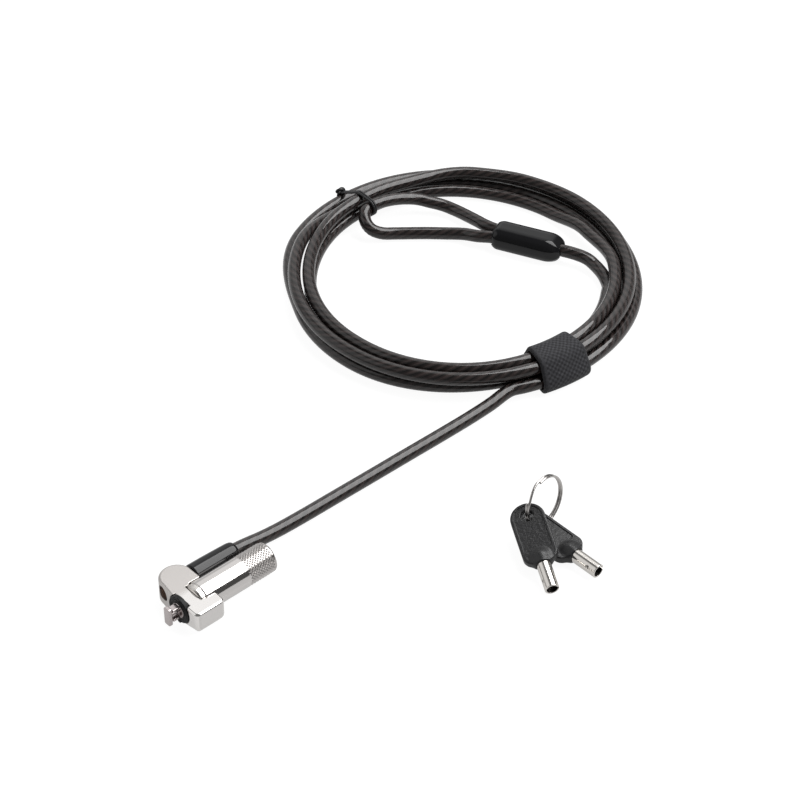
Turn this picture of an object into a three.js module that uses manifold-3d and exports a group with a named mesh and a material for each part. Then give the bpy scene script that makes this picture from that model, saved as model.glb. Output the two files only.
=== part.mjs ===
// Laptop cable lock: lock head, steel cable wound in four turns, end loop, strap, tie and two keys.
// Millimetres, +Z up. The origin lies on the flat underside of the swivel frame, straight below the
// lock's axis. +X runs from the nose, which goes into the laptop, to the knurled rear end.
import * as THREE from 'three';
import { mergeVertices } from 'three/addons/utils/BufferGeometryUtils.js';
import Module from 'manifold-3d';

const wasm = await Module();
wasm.setup();

// Cable
const CABLE_D = 4.5;
const CABLE_CORE_R = 1.6;
const CLEAR = 0.3;
const FIT = 0.15;

// Lock barrel, along the lock's axis
const AXIS_Z = 5.1;
const BARREL_R = 5.0;
const BARREL_BORE_R = 3.7;
const BARREL_FRONT_X = 1.9;
const BARREL_REAR_X = 28.5;
const BARREL_LIP_L = 1.6;
const BARREL_CHAMFER = 0.5;

// Swivel frame
const FRAME_HALF_L = 5.4;
const FRAME_TOP_Z = 8.3;
const FRAME_NEAR_Y = -8.6;
const FRAME_BRIDGE_REAR_X = -0.1;
const FRAME_CORNER_R = 1.6;
const FRAME_BELLY_R = 3.2;
const FRAME_BEVEL = 0.3;
const FRAME_BARREL_GAP = 0.3;
const BOSS_X = 0.9;
const BOSS_R = 5.4;
const BUMPER_SEAT_L = 1.6;
const RETAINER_SEAT_L = 0.8;
const RETAINER_R = 2.9;
const RETAINER_T = 0.5;

// Cable anchor inside the frame's round boss
const ANCHOR_Y = 9.05;
const ANCHOR_Z = 4.6;
const CRIMP_R = 2.25;
const CRIMP_FRONT_X = -2.2;
const CRIMP_REAR_X = 2.1;
const SLEEVE_R = 3.6;
const SLEEVE_REAR_R = 3.3;
const SLEEVE_L = 16.4;
const SLEEVE_NOSE_L = 2.0;

// Lock core, bumper and T-bar
const CORE_FRONT_X = -5.9;
const CORE_NOSE_R = 2.45;
const CORE_NECK_R = 4.4;
const CORE_NECK_L = 1.4;
const CORE_REAR_X = 9.0;
const GROOVE_R = 1.85;
const BUMPER_R = 4.5;
const BUMPER_LOBE_R = 0.95;
const LOBE_ABOVE_TABLE = 0.1;
const LOBE_BEHIND = 0.1;
const BUMPER_PROUD = 0.4;
const BUMPER_ROUND = 0.5;
const SPINDLE_R = 0.95;
const TBAR_H = 6.4;
const TBAR_W = 2.6;
const TBAR_T = 1.3;
const SLOT_REACH = 2.9;
const PEG_W = 2.4;
const PEG_T = 0.95;
const PEG_ROOT_L = 1.4;
const PEG_PLATE_T = 0.5;

// Pin-tumbler cylinder behind the core
const PIN_COUNT = 7;
const PIN_R = 0.4;
const PIN_RING_R = 2.1;
const PIN_CLEAR = 0.15;
const STATOR_L = 6.7;
const ROTOR_L = 4.5;
const ROTOR_POST_L = 6.6;
const KEY_PIN_L = 5.2;
const DRIVER_L = 2.4;
const SPRING_L = 2.4;
const CROSS_PIN_R = 0.6;

// Keys: the tube fits over the rotor's post
const KEY_TUBE_R = 2.25;
const KEY_TUBE_EDGE = 0.25;
const KEY_BORE_R = 1.7;
const KEY_TUBE_L = 9.8;
const KEY_SLOT_L = 6.0;
const KEY_SLOT_W = 0.7;
const KEY_DIMPLE_R = 0.45;
const KEY_DIMPLE_PLACE = 2.4;
const KEYWAY_ROOM = 0.5;
const KEY_HEAD_W = 10.9;
const KEY_HEAD_T = 2.6;
const KEY_HEAD_L = 17.6;
const KEY_TOP_L = 4.5;
const KEY_SHOULDER_W = 6.0;
const KEY_SHOULDER_L = 4.0;
const KEY_HOLE_R = 2.05;
const KEY_BOSS_R = 2.75;
const KEY_BOSS_L = 3.4;
const KEY_PANEL_INSET = 1.2;
const KEY_PANEL_DEPTH = 0.35;
const KEY_PANEL_CORNER = 1.6;
const KEY_COLLAR_L = 0.6;
const KEY_EDGE = 0.35;
const KEY_ROOT_L = 3.2;
const KEY_ROOT_FIT = 0.3;
const RING_R = 8.3;
const RING_WIRE_R = 0.4;
const RING_PITCH = 1.0;
const RING_END_PLACE = 153;
const RING_STEP_SPAN = 50;
const RING_HEADING = 7.3;
const RING_LEAN = 7.2;
const RING_X = 104.5;
const RING_Y = -41.5;

// Coil of cable: pitch of neighbouring turns, ring size and place
const TURN_GAP = 0.45;
const PITCH = CABLE_D + TURN_GAP;
const LAYER = PITCH * Math.sin(Math.PI / 3);
const COIL_X = 169.2;
const COIL_Y = 64.3;
const COIL_INNER_R = 53;
const COIL_OVAL = 1.35;
const COIL_OVAL_PLACE = 132;
const COIL_STEPS = 24;
const COIL_SIDES = 6;
const COIL_START = -24;
const COIL_END = 4 * 360 + 38;
const STRAP_PLACE = -10.5;
const STRAP_SPAN = 16.5;
const STRAP_T = 1.35;
const WRAP_ROOM = 0.5;
const TIE_PLACE = 178;
const TIE_WIRE_R = 0.45;
const TIE_KNOT_R = 1.15;
const TIE_KNOT_OUT = 1.05;
const LIFT_REACH = 70;
const LIFT_FLAT = 10;

// Loop ferrule where the eye is made
const FERRULE_W = 11.2;
const FERRULE_H = 8.8;
const FERRULE_CORNER = 3.0;
const FERRULE_BEVEL = 1.8;
const FERRULE_WALL = 0.75;
const FERRULE_END = new THREE.Vector3(206.6, 50.5, FERRULE_H / 2);
const FERRULE_L = 26.0;
const FERRULE_HEADING = 114;
const FERRULE_SOCKET_L = 5.5;
const EYE_SPREAD = 2.45;

const cableR = CABLE_D / 2;
const rad = (degrees) => THREE.MathUtils.degToRad(degrees);
const steel = (color, roughness) => new THREE.MeshStandardMaterial({ color, roughness, metalness: 1 });
const plastic = (color, roughness) => new THREE.MeshStandardMaterial({ color, roughness, metalness: 0 });
const NICKEL = steel(0xd5d1ca, 0.28);
const CHROME = steel(0xdcdad6, 0.12);
const BRASS = steel(0x8a6a48, 0.45);
const SPRING_STEEL = steel(0x9a9a98, 0.3);
const JACKET = plastic(0x1d1a1b, 0.25);
const GLOSS_BLACK = plastic(0x101012, 0.12);
const RUBBER = plastic(0x16171a, 0.6);
const WEBBING = plastic(0x26262a, 0.95);
const KEY_PLASTIC = plastic(0x232427, 0.55);

const group = new THREE.Group();

// Solids and booleans

function facingOut(geometry) {
  const p = geometry.attributes.position;
  const a = new THREE.Vector3();
  const b = new THREE.Vector3();
  const c = new THREE.Vector3();
  let volume = 0;
  for (let i = 0; i < geometry.index.count; i += 3) {
    a.fromBufferAttribute(p, geometry.index.getX(i));
    b.fromBufferAttribute(p, geometry.index.getX(i + 1));
    c.fromBufferAttribute(p, geometry.index.getX(i + 2));
    volume += a.dot(b.cross(c));
  }
  if (volume < 0) {
    const index = geometry.index.array;
    for (let i = 0; i < index.length; i += 3) [index[i], index[i + 1]] = [index[i + 1], index[i]];
  }
  return geometry;
}

function welded(geometry) {
  const bare = geometry.clone();
  bare.deleteAttribute('normal');
  bare.deleteAttribute('uv');
  const merged = mergeVertices(bare, 1e-4);
  const kept = [];
  const index = merged.index.array;
  for (let i = 0; i < index.length; i += 3) {
    const [a, b, c] = [index[i], index[i + 1], index[i + 2]];
    if (a !== b && b !== c && c !== a) kept.push(a, b, c);
  }
  merged.setIndex(kept);
  return facingOut(merged);
}

function solid(geometry) {
  const w = welded(geometry);
  return new wasm.Manifold(new wasm.Mesh({
    numProp: 3,
    vertProperties: new Float32Array(w.attributes.position.array),
    triVerts: new Uint32Array(w.index.array),
  }));
}

function geometryOf(manifold) {
  const m = manifold.getMesh();
  const geometry = new THREE.BufferGeometry();
  geometry.setAttribute('position', new THREE.BufferAttribute(new Float32Array(m.vertProperties), 3));
  geometry.setIndex(Array.from(m.triVerts));
  return geometry;
}

const cut = (body, ...tools) => tools.reduce((left, tool) => left.subtract(tool), body);
const join = (...bodies) => bodies.reduce((all, body) => all.add(body));

function piece(name, shape, material, parent = group) {
  const geometry = shape instanceof THREE.BufferGeometry ? welded(shape) : geometryOf(shape);
  const mesh = new THREE.Mesh(geometry, material);
  mesh.name = name;
  parent.add(mesh);
  return mesh;
}

// A solid of revolution about a line parallel to X, from [x, radius] pairs that close on themselves.
function turned(profile, segments = 32, y = 0, z = AXIS_Z) {
  const points = [...profile, profile[0]].map(([x, r]) => new THREE.Vector2(r, x));
  return new THREE.LatheGeometry(points, segments).rotateZ(-Math.PI / 2).translate(0, y, z);
}

const rod = (x0, x1, r, segments, y, z) => turned([[x0, 0], [x0, r], [x1, r], [x1, 0]], segments, y, z);

function block(x0, x1, y0, y1, z0, z1) {
  return new THREE.BoxGeometry(x1 - x0, y1 - y0, z1 - z0)
    .translate((x0 + x1) / 2, (y0 + y1) / 2, (z0 + z1) / 2);
}

function extruded(shape, depth, options = {}) {
  return new THREE.ExtrudeGeometry(shape, { depth, bevelEnabled: false, curveSegments: 6, ...options });
}

// A shape drawn in the Y-Z plane and extruded along +X from x0.
function alongX(shape, x0, depth, options) {
  return extruded(shape, depth, options).rotateX(Math.PI / 2).rotateZ(Math.PI / 2).translate(x0, 0, 0);
}

function roundedRect(w, h, r, x = 0, y = 0) {
  const shape = new THREE.Shape();
  const [a, b] = [w / 2, h / 2];
  shape.absarc(x + a - r, y + b - r, r, 0, Math.PI / 2);
  shape.absarc(x - a + r, y + b - r, r, Math.PI / 2, Math.PI);
  shape.absarc(x - a + r, y - b + r, r, Math.PI, 1.5 * Math.PI);
  shape.absarc(x + a - r, y - b + r, r, 1.5 * Math.PI, 2 * Math.PI);
  return shape;
}

// A tube through points, its rings square to the path, one corner of each ring straight below its middle.
function tube(points, radius, sides, closed = false) {
  const n = points.length;
  const positions = [];
  const index = [];
  const up = new THREE.Vector3(0, 0, 1);
  for (let i = 0; i < n; i += 1) {
    const before = points[closed ? (i + n - 1) % n : Math.max(i - 1, 0)];
    const after = points[closed ? (i + 1) % n : Math.min(i + 1, n - 1)];
    const ahead = after.clone().sub(before).normalize();
    const side = ahead.clone().cross(up).normalize();
    const rise = side.clone().cross(ahead).normalize();
    for (let k = 0; k < sides; k += 1) {
      const a = (2 * Math.PI * k) / sides - Math.PI / 2;
      const p = points[i].clone().addScaledVector(side, radius * Math.cos(a))
        .addScaledVector(rise, radius * Math.sin(a));
      positions.push(p.x, p.y, p.z);
    }
  }
  const rings = closed ? n : n - 1;
  for (let i = 0; i < rings; i += 1) {
    for (let k = 0; k < sides; k += 1) {
      const a = i * sides + k;
      const b = i * sides + ((k + 1) % sides);
      const c = ((i + 1) % n) * sides + k;
      const d = ((i + 1) % n) * sides + ((k + 1) % sides);
      index.push(a, c, b, b, c, d);
    }
  }
  if (!closed) {
    for (let k = 1; k < sides - 1; k += 1) {
      index.push(0, k, k + 1);
      const last = (n - 1) * sides;
      index.push(last, last + k + 1, last + k);
    }
  }
  const geometry = new THREE.BufferGeometry();
  geometry.setAttribute('position', new THREE.Float32BufferAttribute(positions, 3));
  geometry.setIndex(index);
  return geometry;
}

// Places round the coil. An angle counts in degrees from the -Y side, the way the cable is wound.

function innerRadius(angle) {
  return COIL_INNER_R + COIL_OVAL * Math.cos(2 * rad(angle - COIL_OVAL_PLACE));
}

function coilSpot(angle, radius, height) {
  const a = rad(angle - 90);
  return new THREE.Vector3(COIL_X + radius * Math.cos(a), COIL_Y + radius * Math.sin(a), height);
}

function bump(angle, place) {
  const away = Math.abs(((angle - place + 540) % 360) - 180);
  return 1 - THREE.MathUtils.smoothstep(away, LIFT_FLAT, LIFT_REACH);
}

// The turns ride over the strap and the tie, which pass between them and the table.
function lift(angle) {
  const overStrap = STRAP_T + WRAP_ROOM;
  const overTie = 2 * TIE_WIRE_R + WRAP_ROOM;
  return overStrap * bump(angle, STRAP_PLACE) + overTie * bump(angle, TIE_PLACE);
}

// Where each turn lies in the bundle: [angle, pitches outwards, layers up]. The lead comes in as the
// outermost run, and each turn then moves to the place where the next one began, to end as the innermost.
const TURNS = [
  [[-24, 2, 0], [203, 2, 0], [245, 1.02, 0]],
  [[-5, 1, 0], [181, 1, 0], [214, 1.1, 1.18], [275, 1.1, 1.18], [334, 1.5, 1.02]],
  [[0, 1.5, 1.02], [90, 1.5, 1.02], [112, 1.22, 1.17], [130, 0.95, 1.2], [160, 0.08, 1.18],
    [275, 0.08, 1.18], [334, 0.5, 1.02]],
  [[0, 0.5, 1.02], [52, 0.5, 1.02], [78, 0.03, 0.62], [98, 0, 0]],
  [[0, 0, 0], [90, 0, 0]],
];
const WAYPOINTS = TURNS.flatMap((turn, k) => turn.map(([angle, out, up]) => [angle + 360 * k, out, up]));

function coilPoint(angle) {
  let k = 0;
  while (k < WAYPOINTS.length - 2 && WAYPOINTS[k + 1][0] < angle) k += 1;
  const [a0, out0, up0] = WAYPOINTS[k];
  const [a1, out1, up1] = WAYPOINTS[k + 1];
  const t = THREE.MathUtils.smoothstep(angle, a0, a1);
  const out = out0 + (out1 - out0) * t;
  const up = up0 + (up1 - up0) * t;
  return coilSpot(angle, innerRadius(angle) + PITCH * out, cableR + LAYER * up + lift(angle));
}

function heading(angle) {
  return coilPoint(angle + 0.5).sub(coilPoint(angle - 0.5)).normalize();
}

const bumperSeatX = -FRAME_HALF_L + BUMPER_SEAT_L;
const retainerSeatRear = bumperSeatX + RETAINER_SEAT_L;
const neckFront = FRAME_BRIDGE_REAR_X + CLEAR;
const neckRear = neckFront + CORE_NECK_L;

// Swivel frame: one casting with the round cable boss, the bridge that holds the core, and a side lug

function frameShape() {
  const plan = new THREE.Shape();
  const [front, rear] = [-FRAME_HALF_L, FRAME_HALF_L];
  const r = FRAME_CORNER_R;
  plan.moveTo(BOSS_X + BOSS_R, ANCHOR_Y);
  plan.absarc(BOSS_X, ANCHOR_Y, BOSS_R, 0, Math.PI);
  plan.lineTo(front, ANCHOR_Y - BOSS_R);
  plan.absarc(front + r, FRAME_NEAR_Y + r, r, Math.PI, 1.5 * Math.PI);
  plan.absarc(rear - r, FRAME_NEAR_Y + r, r, 1.5 * Math.PI, 2 * Math.PI);
  plan.lineTo(rear, 0);
  plan.lineTo(BOSS_X + BOSS_R, 0);
  plan.lineTo(BOSS_X + BOSS_R, ANCHOR_Y);
  const bevel = { bevelEnabled: true, bevelThickness: FRAME_BEVEL, bevelSize: FRAME_BEVEL,
    bevelOffset: -FRAME_BEVEL, bevelSegments: 1, curveSegments: 10 };
  const slab = solid(extruded(plan, FRAME_TOP_Z - 2 * FRAME_BEVEL, bevel).translate(0, 0, FRAME_BEVEL));
  const side = new THREE.Shape();
  side.moveTo(ANCHOR_Y + BOSS_R + 1, -1);
  side.lineTo(ANCHOR_Y + BOSS_R + 1, FRAME_TOP_Z + 1);
  side.lineTo(FRAME_NEAR_Y, FRAME_TOP_Z + 1);
  side.absarc(FRAME_NEAR_Y + FRAME_BELLY_R, FRAME_BELLY_R, FRAME_BELLY_R, Math.PI, 1.5 * Math.PI);
  side.lineTo(0, 0);
  side.lineTo(0, -1);
  const section = solid(alongX(side, front - 1, rear - front + BOSS_R));
  const channelR = BARREL_R + FRAME_BARREL_GAP;
  return cut(
    slab.intersect(section),
    solid(rod(neckRear, rear + BOSS_R, channelR, 40)),
    solid(rod(FRAME_BRIDGE_REAR_X, neckRear, CORE_NECK_R + FIT, 40)),
    solid(rod(front - 1, rear, CORE_NOSE_R + FIT, 32)),
    solid(rod(front - 1, front + BUMPER_SEAT_L, BUMPER_R + CLEAR, 36)),
    solid(rod(front - 1, retainerSeatRear, RETAINER_R + FIT, 28)),
    solid(rod(front - 1, CRIMP_REAR_X + CLEAR, CRIMP_R + CLEAR, 24, ANCHOR_Y, ANCHOR_Z)),
    solid(rod(front - 1, rear + BOSS_R, CABLE_CORE_R + CLEAR, 20, ANCHOR_Y, ANCHOR_Z)),
  );
}

piece('swivel_frame', frameShape(), NICKEL);

// Cable anchor: the crimp seats in the boss and turns there, the sleeve covers the cable behind it

const sleeveFront = BOSS_X + BOSS_R + CLEAR;
const sleeveRear = sleeveFront + SLEEVE_L;
const jacketStart = sleeveFront + 1.2;

piece('cable_crimp', turned([
  [CRIMP_FRONT_X, 0], [CRIMP_FRONT_X, CRIMP_R - 0.4], [CRIMP_FRONT_X + 0.4, CRIMP_R], [CRIMP_REAR_X, CRIMP_R],
  [CRIMP_REAR_X, CABLE_CORE_R], [jacketStart - CLEAR, CABLE_CORE_R], [jacketStart - CLEAR, 0],
], 20, ANCHOR_Y, ANCHOR_Z), BRASS);

function sleeveProfile() {
  const shape = [];
  const boreR = cableR + CLEAR;
  const steps = 5;
  shape.push([sleeveFront, boreR], [sleeveFront, SLEEVE_R - 0.3], [sleeveFront + 0.3, SLEEVE_R]);
  for (let i = 0; i <= steps; i += 1) {
    const a = (Math.PI / 2) * (i / steps);
    const x = sleeveRear - SLEEVE_NOSE_L + SLEEVE_NOSE_L * Math.sin(a);
    shape.push([x, boreR + 0.25 + (SLEEVE_REAR_R - boreR - 0.25) * Math.cos(a)]);
  }
  shape.push([sleeveRear, boreR]);
  return shape;
}

piece('strain_sleeve', turned(sleeveProfile(), 28, ANCHOR_Y, ANCHOR_Z), GLOSS_BLACK);

// Lock core: nose, journal in the bridge, neck behind it and the tail inside the barrel

const plugR = BARREL_BORE_R - CLEAR;
const spindleBoreR = SPINDLE_R + FIT;
const pegInner = SPINDLE_R + 0.35;
const noseX = CORE_FRONT_X + PEG_PLATE_T + CLEAR;
const pegFront = CORE_FRONT_X - SLOT_REACH + CLEAR;
const pegRear = noseX + PEG_ROOT_L;

function coreShape() {
  const body = solid(turned([
    [noseX, spindleBoreR], [noseX, CORE_NOSE_R],
    [bumperSeatX, CORE_NOSE_R], [bumperSeatX, GROOVE_R], [retainerSeatRear, GROOVE_R],
    [retainerSeatRear, CORE_NOSE_R], [neckFront, CORE_NOSE_R], [neckFront, CORE_NECK_R - 0.2],
    [neckFront + 0.2, CORE_NECK_R], [neckRear, CORE_NECK_R], [neckRear, plugR],
    [CORE_REAR_X, plugR], [CORE_REAR_X, spindleBoreR],
  ], 32));
  const reach = pegInner + PEG_T + CLEAR;
  const seats = [1, -1].map((s) => solid(block(
    noseX - 1, pegRear + CLEAR, -PEG_W / 2 - CLEAR, PEG_W / 2 + CLEAR,
    AXIS_Z + (s > 0 ? pegInner - CLEAR : -reach), AXIS_Z + (s > 0 ? reach : -(pegInner - CLEAR)),
  )));
  return cut(body, ...seats, crossPinHole());
}

const crossPinX = (neckRear + CORE_REAR_X) / 2 + CLEAR;
const crossPinTop = AXIS_Z - spindleBoreR - CLEAR;
const crossPinFoot = AXIS_Z - BARREL_R + 0.3;

function crossPinHole() {
  return solid(new THREE.CylinderGeometry(CROSS_PIN_R + CLEAR, CROSS_PIN_R + CLEAR, BARREL_R * 2, 12)
    .rotateX(Math.PI / 2).translate(crossPinX, 0, AXIS_Z - BARREL_R - spindleBoreR));
}

piece('lock_core', coreShape(), NICKEL);
piece('cross_pin', new THREE.CylinderGeometry(CROSS_PIN_R, CROSS_PIN_R, crossPinTop - crossPinFoot, 12)
  .rotateX(Math.PI / 2).translate(crossPinX, 0, (crossPinTop + crossPinFoot) / 2), SPRING_STEEL);

const retainerX = bumperSeatX + (RETAINER_SEAT_L - RETAINER_T) / 2;
piece('retaining_ring', turned([
  [retainerX, GROOVE_R + FIT], [retainerX, RETAINER_R],
  [retainerX + RETAINER_T, RETAINER_R], [retainerX + RETAINER_T, GROOVE_R + FIT],
], 24), SPRING_STEEL);

function bumperShape() {
  const rear = bumperSeatX - CLEAR;
  const front = -FRAME_HALF_L - BUMPER_PROUD;
  const outline = new THREE.Shape();
  outline.absarc(0, 0, BUMPER_R, 0, 2 * Math.PI);
  const round = { bevelEnabled: true, bevelThickness: BUMPER_ROUND, bevelSize: BUMPER_ROUND,
    bevelOffset: -BUMPER_ROUND, bevelSegments: 2, curveSegments: 16 };
  const ring = solid(alongX(outline, front + BUMPER_ROUND, rear - front - 2 * BUMPER_ROUND, round)
    .translate(0, 0, AXIS_Z));
  const lobeOut = AXIS_Z - BUMPER_LOBE_R - LOBE_ABOVE_TABLE;
  const lobes = [1, -1].map((s) => solid(rod(
    front, -FRAME_HALF_L - LOBE_BEHIND, BUMPER_LOBE_R, 12, 0, AXIS_Z + s * lobeOut,
  )));
  const bore = solid(rod(front - 1, rear + 1, CORE_NOSE_R + FIT, 28));
  return cut(join(ring, ...lobes), bore);
}

piece('rubber_bumper', bumperShape(), RUBBER);

function pegShape(s) {
  const [a, b] = s > 0 ? [pegInner, pegInner + PEG_T] : [-pegInner - PEG_T, -pegInner];
  return solid(block(pegFront, pegRear, -PEG_W / 2, PEG_W / 2, AXIS_Z + a, AXIS_Z + b));
}

const pegPlate = cut(
  solid(rod(CORE_FRONT_X, CORE_FRONT_X + PEG_PLATE_T, CORE_NOSE_R, 28)),
  solid(rod(CORE_FRONT_X - 1, noseX, spindleBoreR, 20)),
);

piece('guide_pegs', join(pegPlate, pegShape(1), pegShape(-1)), NICKEL);

// Cylinder: stator, rotor and pins, with the keyway round the rotor's post

const statorFront = CORE_REAR_X + CLEAR;
const statorRear = statorFront + STATOR_L;
const rotorFront = statorRear + CLEAR;
const rotorRear = rotorFront + ROTOR_L;
const bushFront = rotorRear + CLEAR;
const lipFront = BARREL_REAR_X - BARREL_LIP_L;
const keywayR = KEY_TUBE_R + KEYWAY_ROOM;
const postR = KEY_BORE_R - CLEAR;
const pinHoleR = PIN_R + PIN_CLEAR;
const tipX = pegFront - CLEAR - TBAR_T;

const pinAngles = Array.from({ length: PIN_COUNT }, (_, k) => (2 * Math.PI * k) / PIN_COUNT);

function pinRing(x0, x1, r, segments = 10) {
  return pinAngles.map((a) => solid(rod(x0, x1, r, segments,
    PIN_RING_R * Math.cos(a), AXIS_Z + PIN_RING_R * Math.sin(a))));
}

const driverRear = statorRear;
const driverFront = driverRear - DRIVER_L;
const springFront = driverFront - CLEAR - SPRING_L;

piece('lock_barrel', cut(solid(turned([
  [BARREL_FRONT_X, BARREL_BORE_R], [BARREL_FRONT_X, BARREL_R - 0.3], [BARREL_FRONT_X + 0.3, BARREL_R],
  [BARREL_REAR_X - BARREL_CHAMFER, BARREL_R], [BARREL_REAR_X, BARREL_R - BARREL_CHAMFER],
  [BARREL_REAR_X, keywayR + 0.3], [BARREL_REAR_X - 0.3, keywayR], [lipFront, keywayR],
  [lipFront, BARREL_BORE_R],
], 48)), crossPinHole()), CHROME);

piece('stator', cut(
  solid(turned([[statorFront, spindleBoreR], [statorFront, plugR], [statorRear, plugR],
    [statorRear, spindleBoreR]], 28)),
  ...pinRing(springFront - CLEAR, statorRear + 1, pinHoleR),
), BRASS);

piece('rotor', cut(
  solid(turned([[rotorFront, spindleBoreR], [rotorFront, plugR], [rotorRear, plugR], [rotorRear, postR],
    [rotorRear + ROTOR_POST_L, postR], [rotorRear + ROTOR_POST_L, 0], [rotorRear - 1, 0],
    [rotorRear - 1, spindleBoreR]], 28)),
  ...pinRing(rotorFront - 1, rotorRear + 0.5, pinHoleR),
  solid(block(rotorRear + ROTOR_POST_L - 2.5, rotorRear + ROTOR_POST_L + 1, -0.3, 0.3, AXIS_Z, AXIS_Z + 3)),
), BRASS);

pinRing(rotorFront, rotorFront + KEY_PIN_L, PIN_R, 8)
  .forEach((pin, k) => piece(`key_pin_${k + 1}`, pin, BRASS));
pinRing(driverFront, driverRear, PIN_R, 8)
  .forEach((pin, k) => piece(`driver_pin_${k + 1}`, pin, SPRING_STEEL));
pinRing(springFront, springFront + SPRING_L, PIN_R, 8)
  .forEach((spring, k) => piece(`pin_spring_${k + 1}`, spring, SPRING_STEEL));

piece('face_bushing', turned([
  [bushFront, keywayR], [bushFront, plugR], [lipFront - CLEAR, plugR], [lipFront - CLEAR, keywayR],
], 28), NICKEL);

function tBarShape() {
  const head = alongX(roundedRect(TBAR_W, TBAR_H, 0.5), tipX, TBAR_T).translate(0, 0, AXIS_Z);
  return join(solid(head), solid(rod(tipX + TBAR_T / 2, rotorRear - 1 - CLEAR, SPINDLE_R, 16)));
}

piece('t_bar', tBarShape(), NICKEL);

// Free cable from the sleeve to the coil

const v = (x, y, z) => new THREE.Vector3(x, y, z);

function leadPath() {
  const end = coilPoint(COIL_START);
  const way = heading(COIL_START);
  return [
    v(jacketStart, ANCHOR_Y, ANCHOR_Z), v(jacketStart + 8, ANCHOR_Y, ANCHOR_Z),
    v(sleeveRear + 0.5, ANCHOR_Y, ANCHOR_Z), v(28, 9.05, 4.05), v(33, 9.0, 3.25), v(40, 8.9, 2.6),
    v(50, 8.8, 2.3), v(62, 8.7, 2.25), v(78, 8.5, 2.25), v(94, 8.35, 2.25), v(110, 8.15, 2.27),
    v(121, 8.1, 2.35), v(130, 8.1, 2.75),
    end.clone().addScaledVector(way, -CABLE_D - CLEAR), end.clone().addScaledVector(way, -CLEAR),
  ];
}

const ferruleWay = v(Math.cos(rad(FERRULE_HEADING)), Math.sin(rad(FERRULE_HEADING)), 0);
const ferruleSide = v(Math.sin(rad(FERRULE_HEADING)), -Math.cos(rad(FERRULE_HEADING)), 0);
const inFerrule = (along, aside, up = 0) => FERRULE_END.clone()
  .addScaledVector(ferruleWay, along).addScaledVector(ferruleSide, aside).add(v(0, 0, up));

function tailPath() {
  const start = coilPoint(COIL_END);
  const way = heading(COIL_END);
  return [
    start.clone().addScaledVector(way, CLEAR), start.clone().addScaledVector(way, CABLE_D + CLEAR),
    v(207.9, 31.6, 2.9), v(209.7, 36.9, 3.1), v(209.9, 41.5, 3.9), inFerrule(-CABLE_D - 0.6, 0, -0.15),
    inFerrule(0, 0), inFerrule(FERRULE_SOCKET_L - CLEAR, 0),
  ];
}

function eyePath() {
  const mouth = FERRULE_L - FERRULE_SOCKET_L + CLEAR;
  return [
    inFerrule(mouth, EYE_SPREAD), inFerrule(FERRULE_L, EYE_SPREAD), v(197.1, 79.9, 4.5),
    v(197.4, 84.4, 3.9), v(197.6, 89.4, 3.3), v(197.2, 95.4, 3.0), v(195.4, 100.6, 3.5), v(192.6, 103.9, 4.4),
    v(189.6, 107.2, 5.4), v(185.4, 109.5, 6.5), v(180.5, 111.2, 7.4), v(175.6, 112.1, 8.0),
    v(171.0, 112.3, 8.2), v(167.4, 111.2, 7.7), v(165.4, 108.6, 6.2), v(165.5, 105.6, 4.4),
    v(168.0, 102.8, 3.0), v(172.0, 100.2, 2.35), v(176.1, 96.8, 2.25), v(180.6, 92.8, 2.25),
    v(185.4, 88.0, 2.3), v(189.3, 82.8, 2.9),
    inFerrule(FERRULE_L + 5, -EYE_SPREAD - 0.6, -0.6), inFerrule(FERRULE_L, -EYE_SPREAD),
    inFerrule(mouth, -EYE_SPREAD),
  ];
}

function cableTube(points, steps) {
  const section = new THREE.Shape().absarc(0, 0, cableR, 0, 2 * Math.PI);
  const extrudePath = new THREE.CatmullRomCurve3(points, false, 'centripetal');
  return new THREE.ExtrudeGeometry(section, { steps, extrudePath, curveSegments: 8 });
}

piece('cable_lead', cableTube(leadPath(), 22), JACKET);
piece('cable_tail', cableTube(tailPath(), 9), JACKET);
piece('cable_eye', cableTube(eyePath(), 32), JACKET);

// Coil: one wound tube, straight for one diameter at each end

function coilRoute() {
  const step = 360 / COIL_STEPS;
  const way = [heading(COIL_START), heading(COIL_END)];
  const [first, last] = [coilPoint(COIL_START), coilPoint(COIL_END)];
  const points = [first, first.clone().addScaledVector(way[0], CABLE_D)];
  const margin = THREE.MathUtils.radToDeg((1.5 * CABLE_D) / COIL_INNER_R);
  for (let a = Math.ceil((COIL_START + margin) / step) * step; a < COIL_END - margin; a += step) {
    points.push(coilPoint(a));
  }
  points.push(last.clone().addScaledVector(way[1], -CABLE_D), last);
  return points;
}

function leastGap() {
  let least = [Infinity];
  for (let a = COIL_START; a < COIL_END - 300; a += 3) {
    for (let b = a + 300; b < COIL_END; b += 3) {
      const away = coilPoint(a).distanceTo(coilPoint(b)) - CABLE_D;
      if (away < least[0]) least = [away, a, b];
    }
  }
  return least;
}

const [gap, gapFrom, gapTo] = leastGap();
console.log(`least gap between turns ${gap.toFixed(2)} mm, from ${gapFrom} to ${gapTo} degrees`);
piece('cable_coil', tube(coilRoute(), cableR, COIL_SIDES), JACKET);

// A rounded outline at a distance round the middles of the turns that it holds, as [radius, height] pairs

function wrapOutline(middles, offset, arcSteps) {
  const points = [];
  const n = middles.length;
  middles.forEach((m, i) => {
    const before = middles[(i + n - 1) % n];
    const after = middles[(i + 1) % n];
    const a0 = Math.atan2(m[1] - before[1], m[0] - before[0]) - Math.PI / 2;
    let a1 = Math.atan2(after[1] - m[1], after[0] - m[0]) - Math.PI / 2;
    while (a1 < a0) a1 += 2 * Math.PI;
    for (let k = 0; k <= arcSteps; k += 1) {
      const a = a0 + ((a1 - a0) * k) / arcSteps;
      points.push([m[0] + offset * Math.cos(a), m[1] + offset * Math.sin(a)]);
    }
  });
  return points;
}

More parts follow.
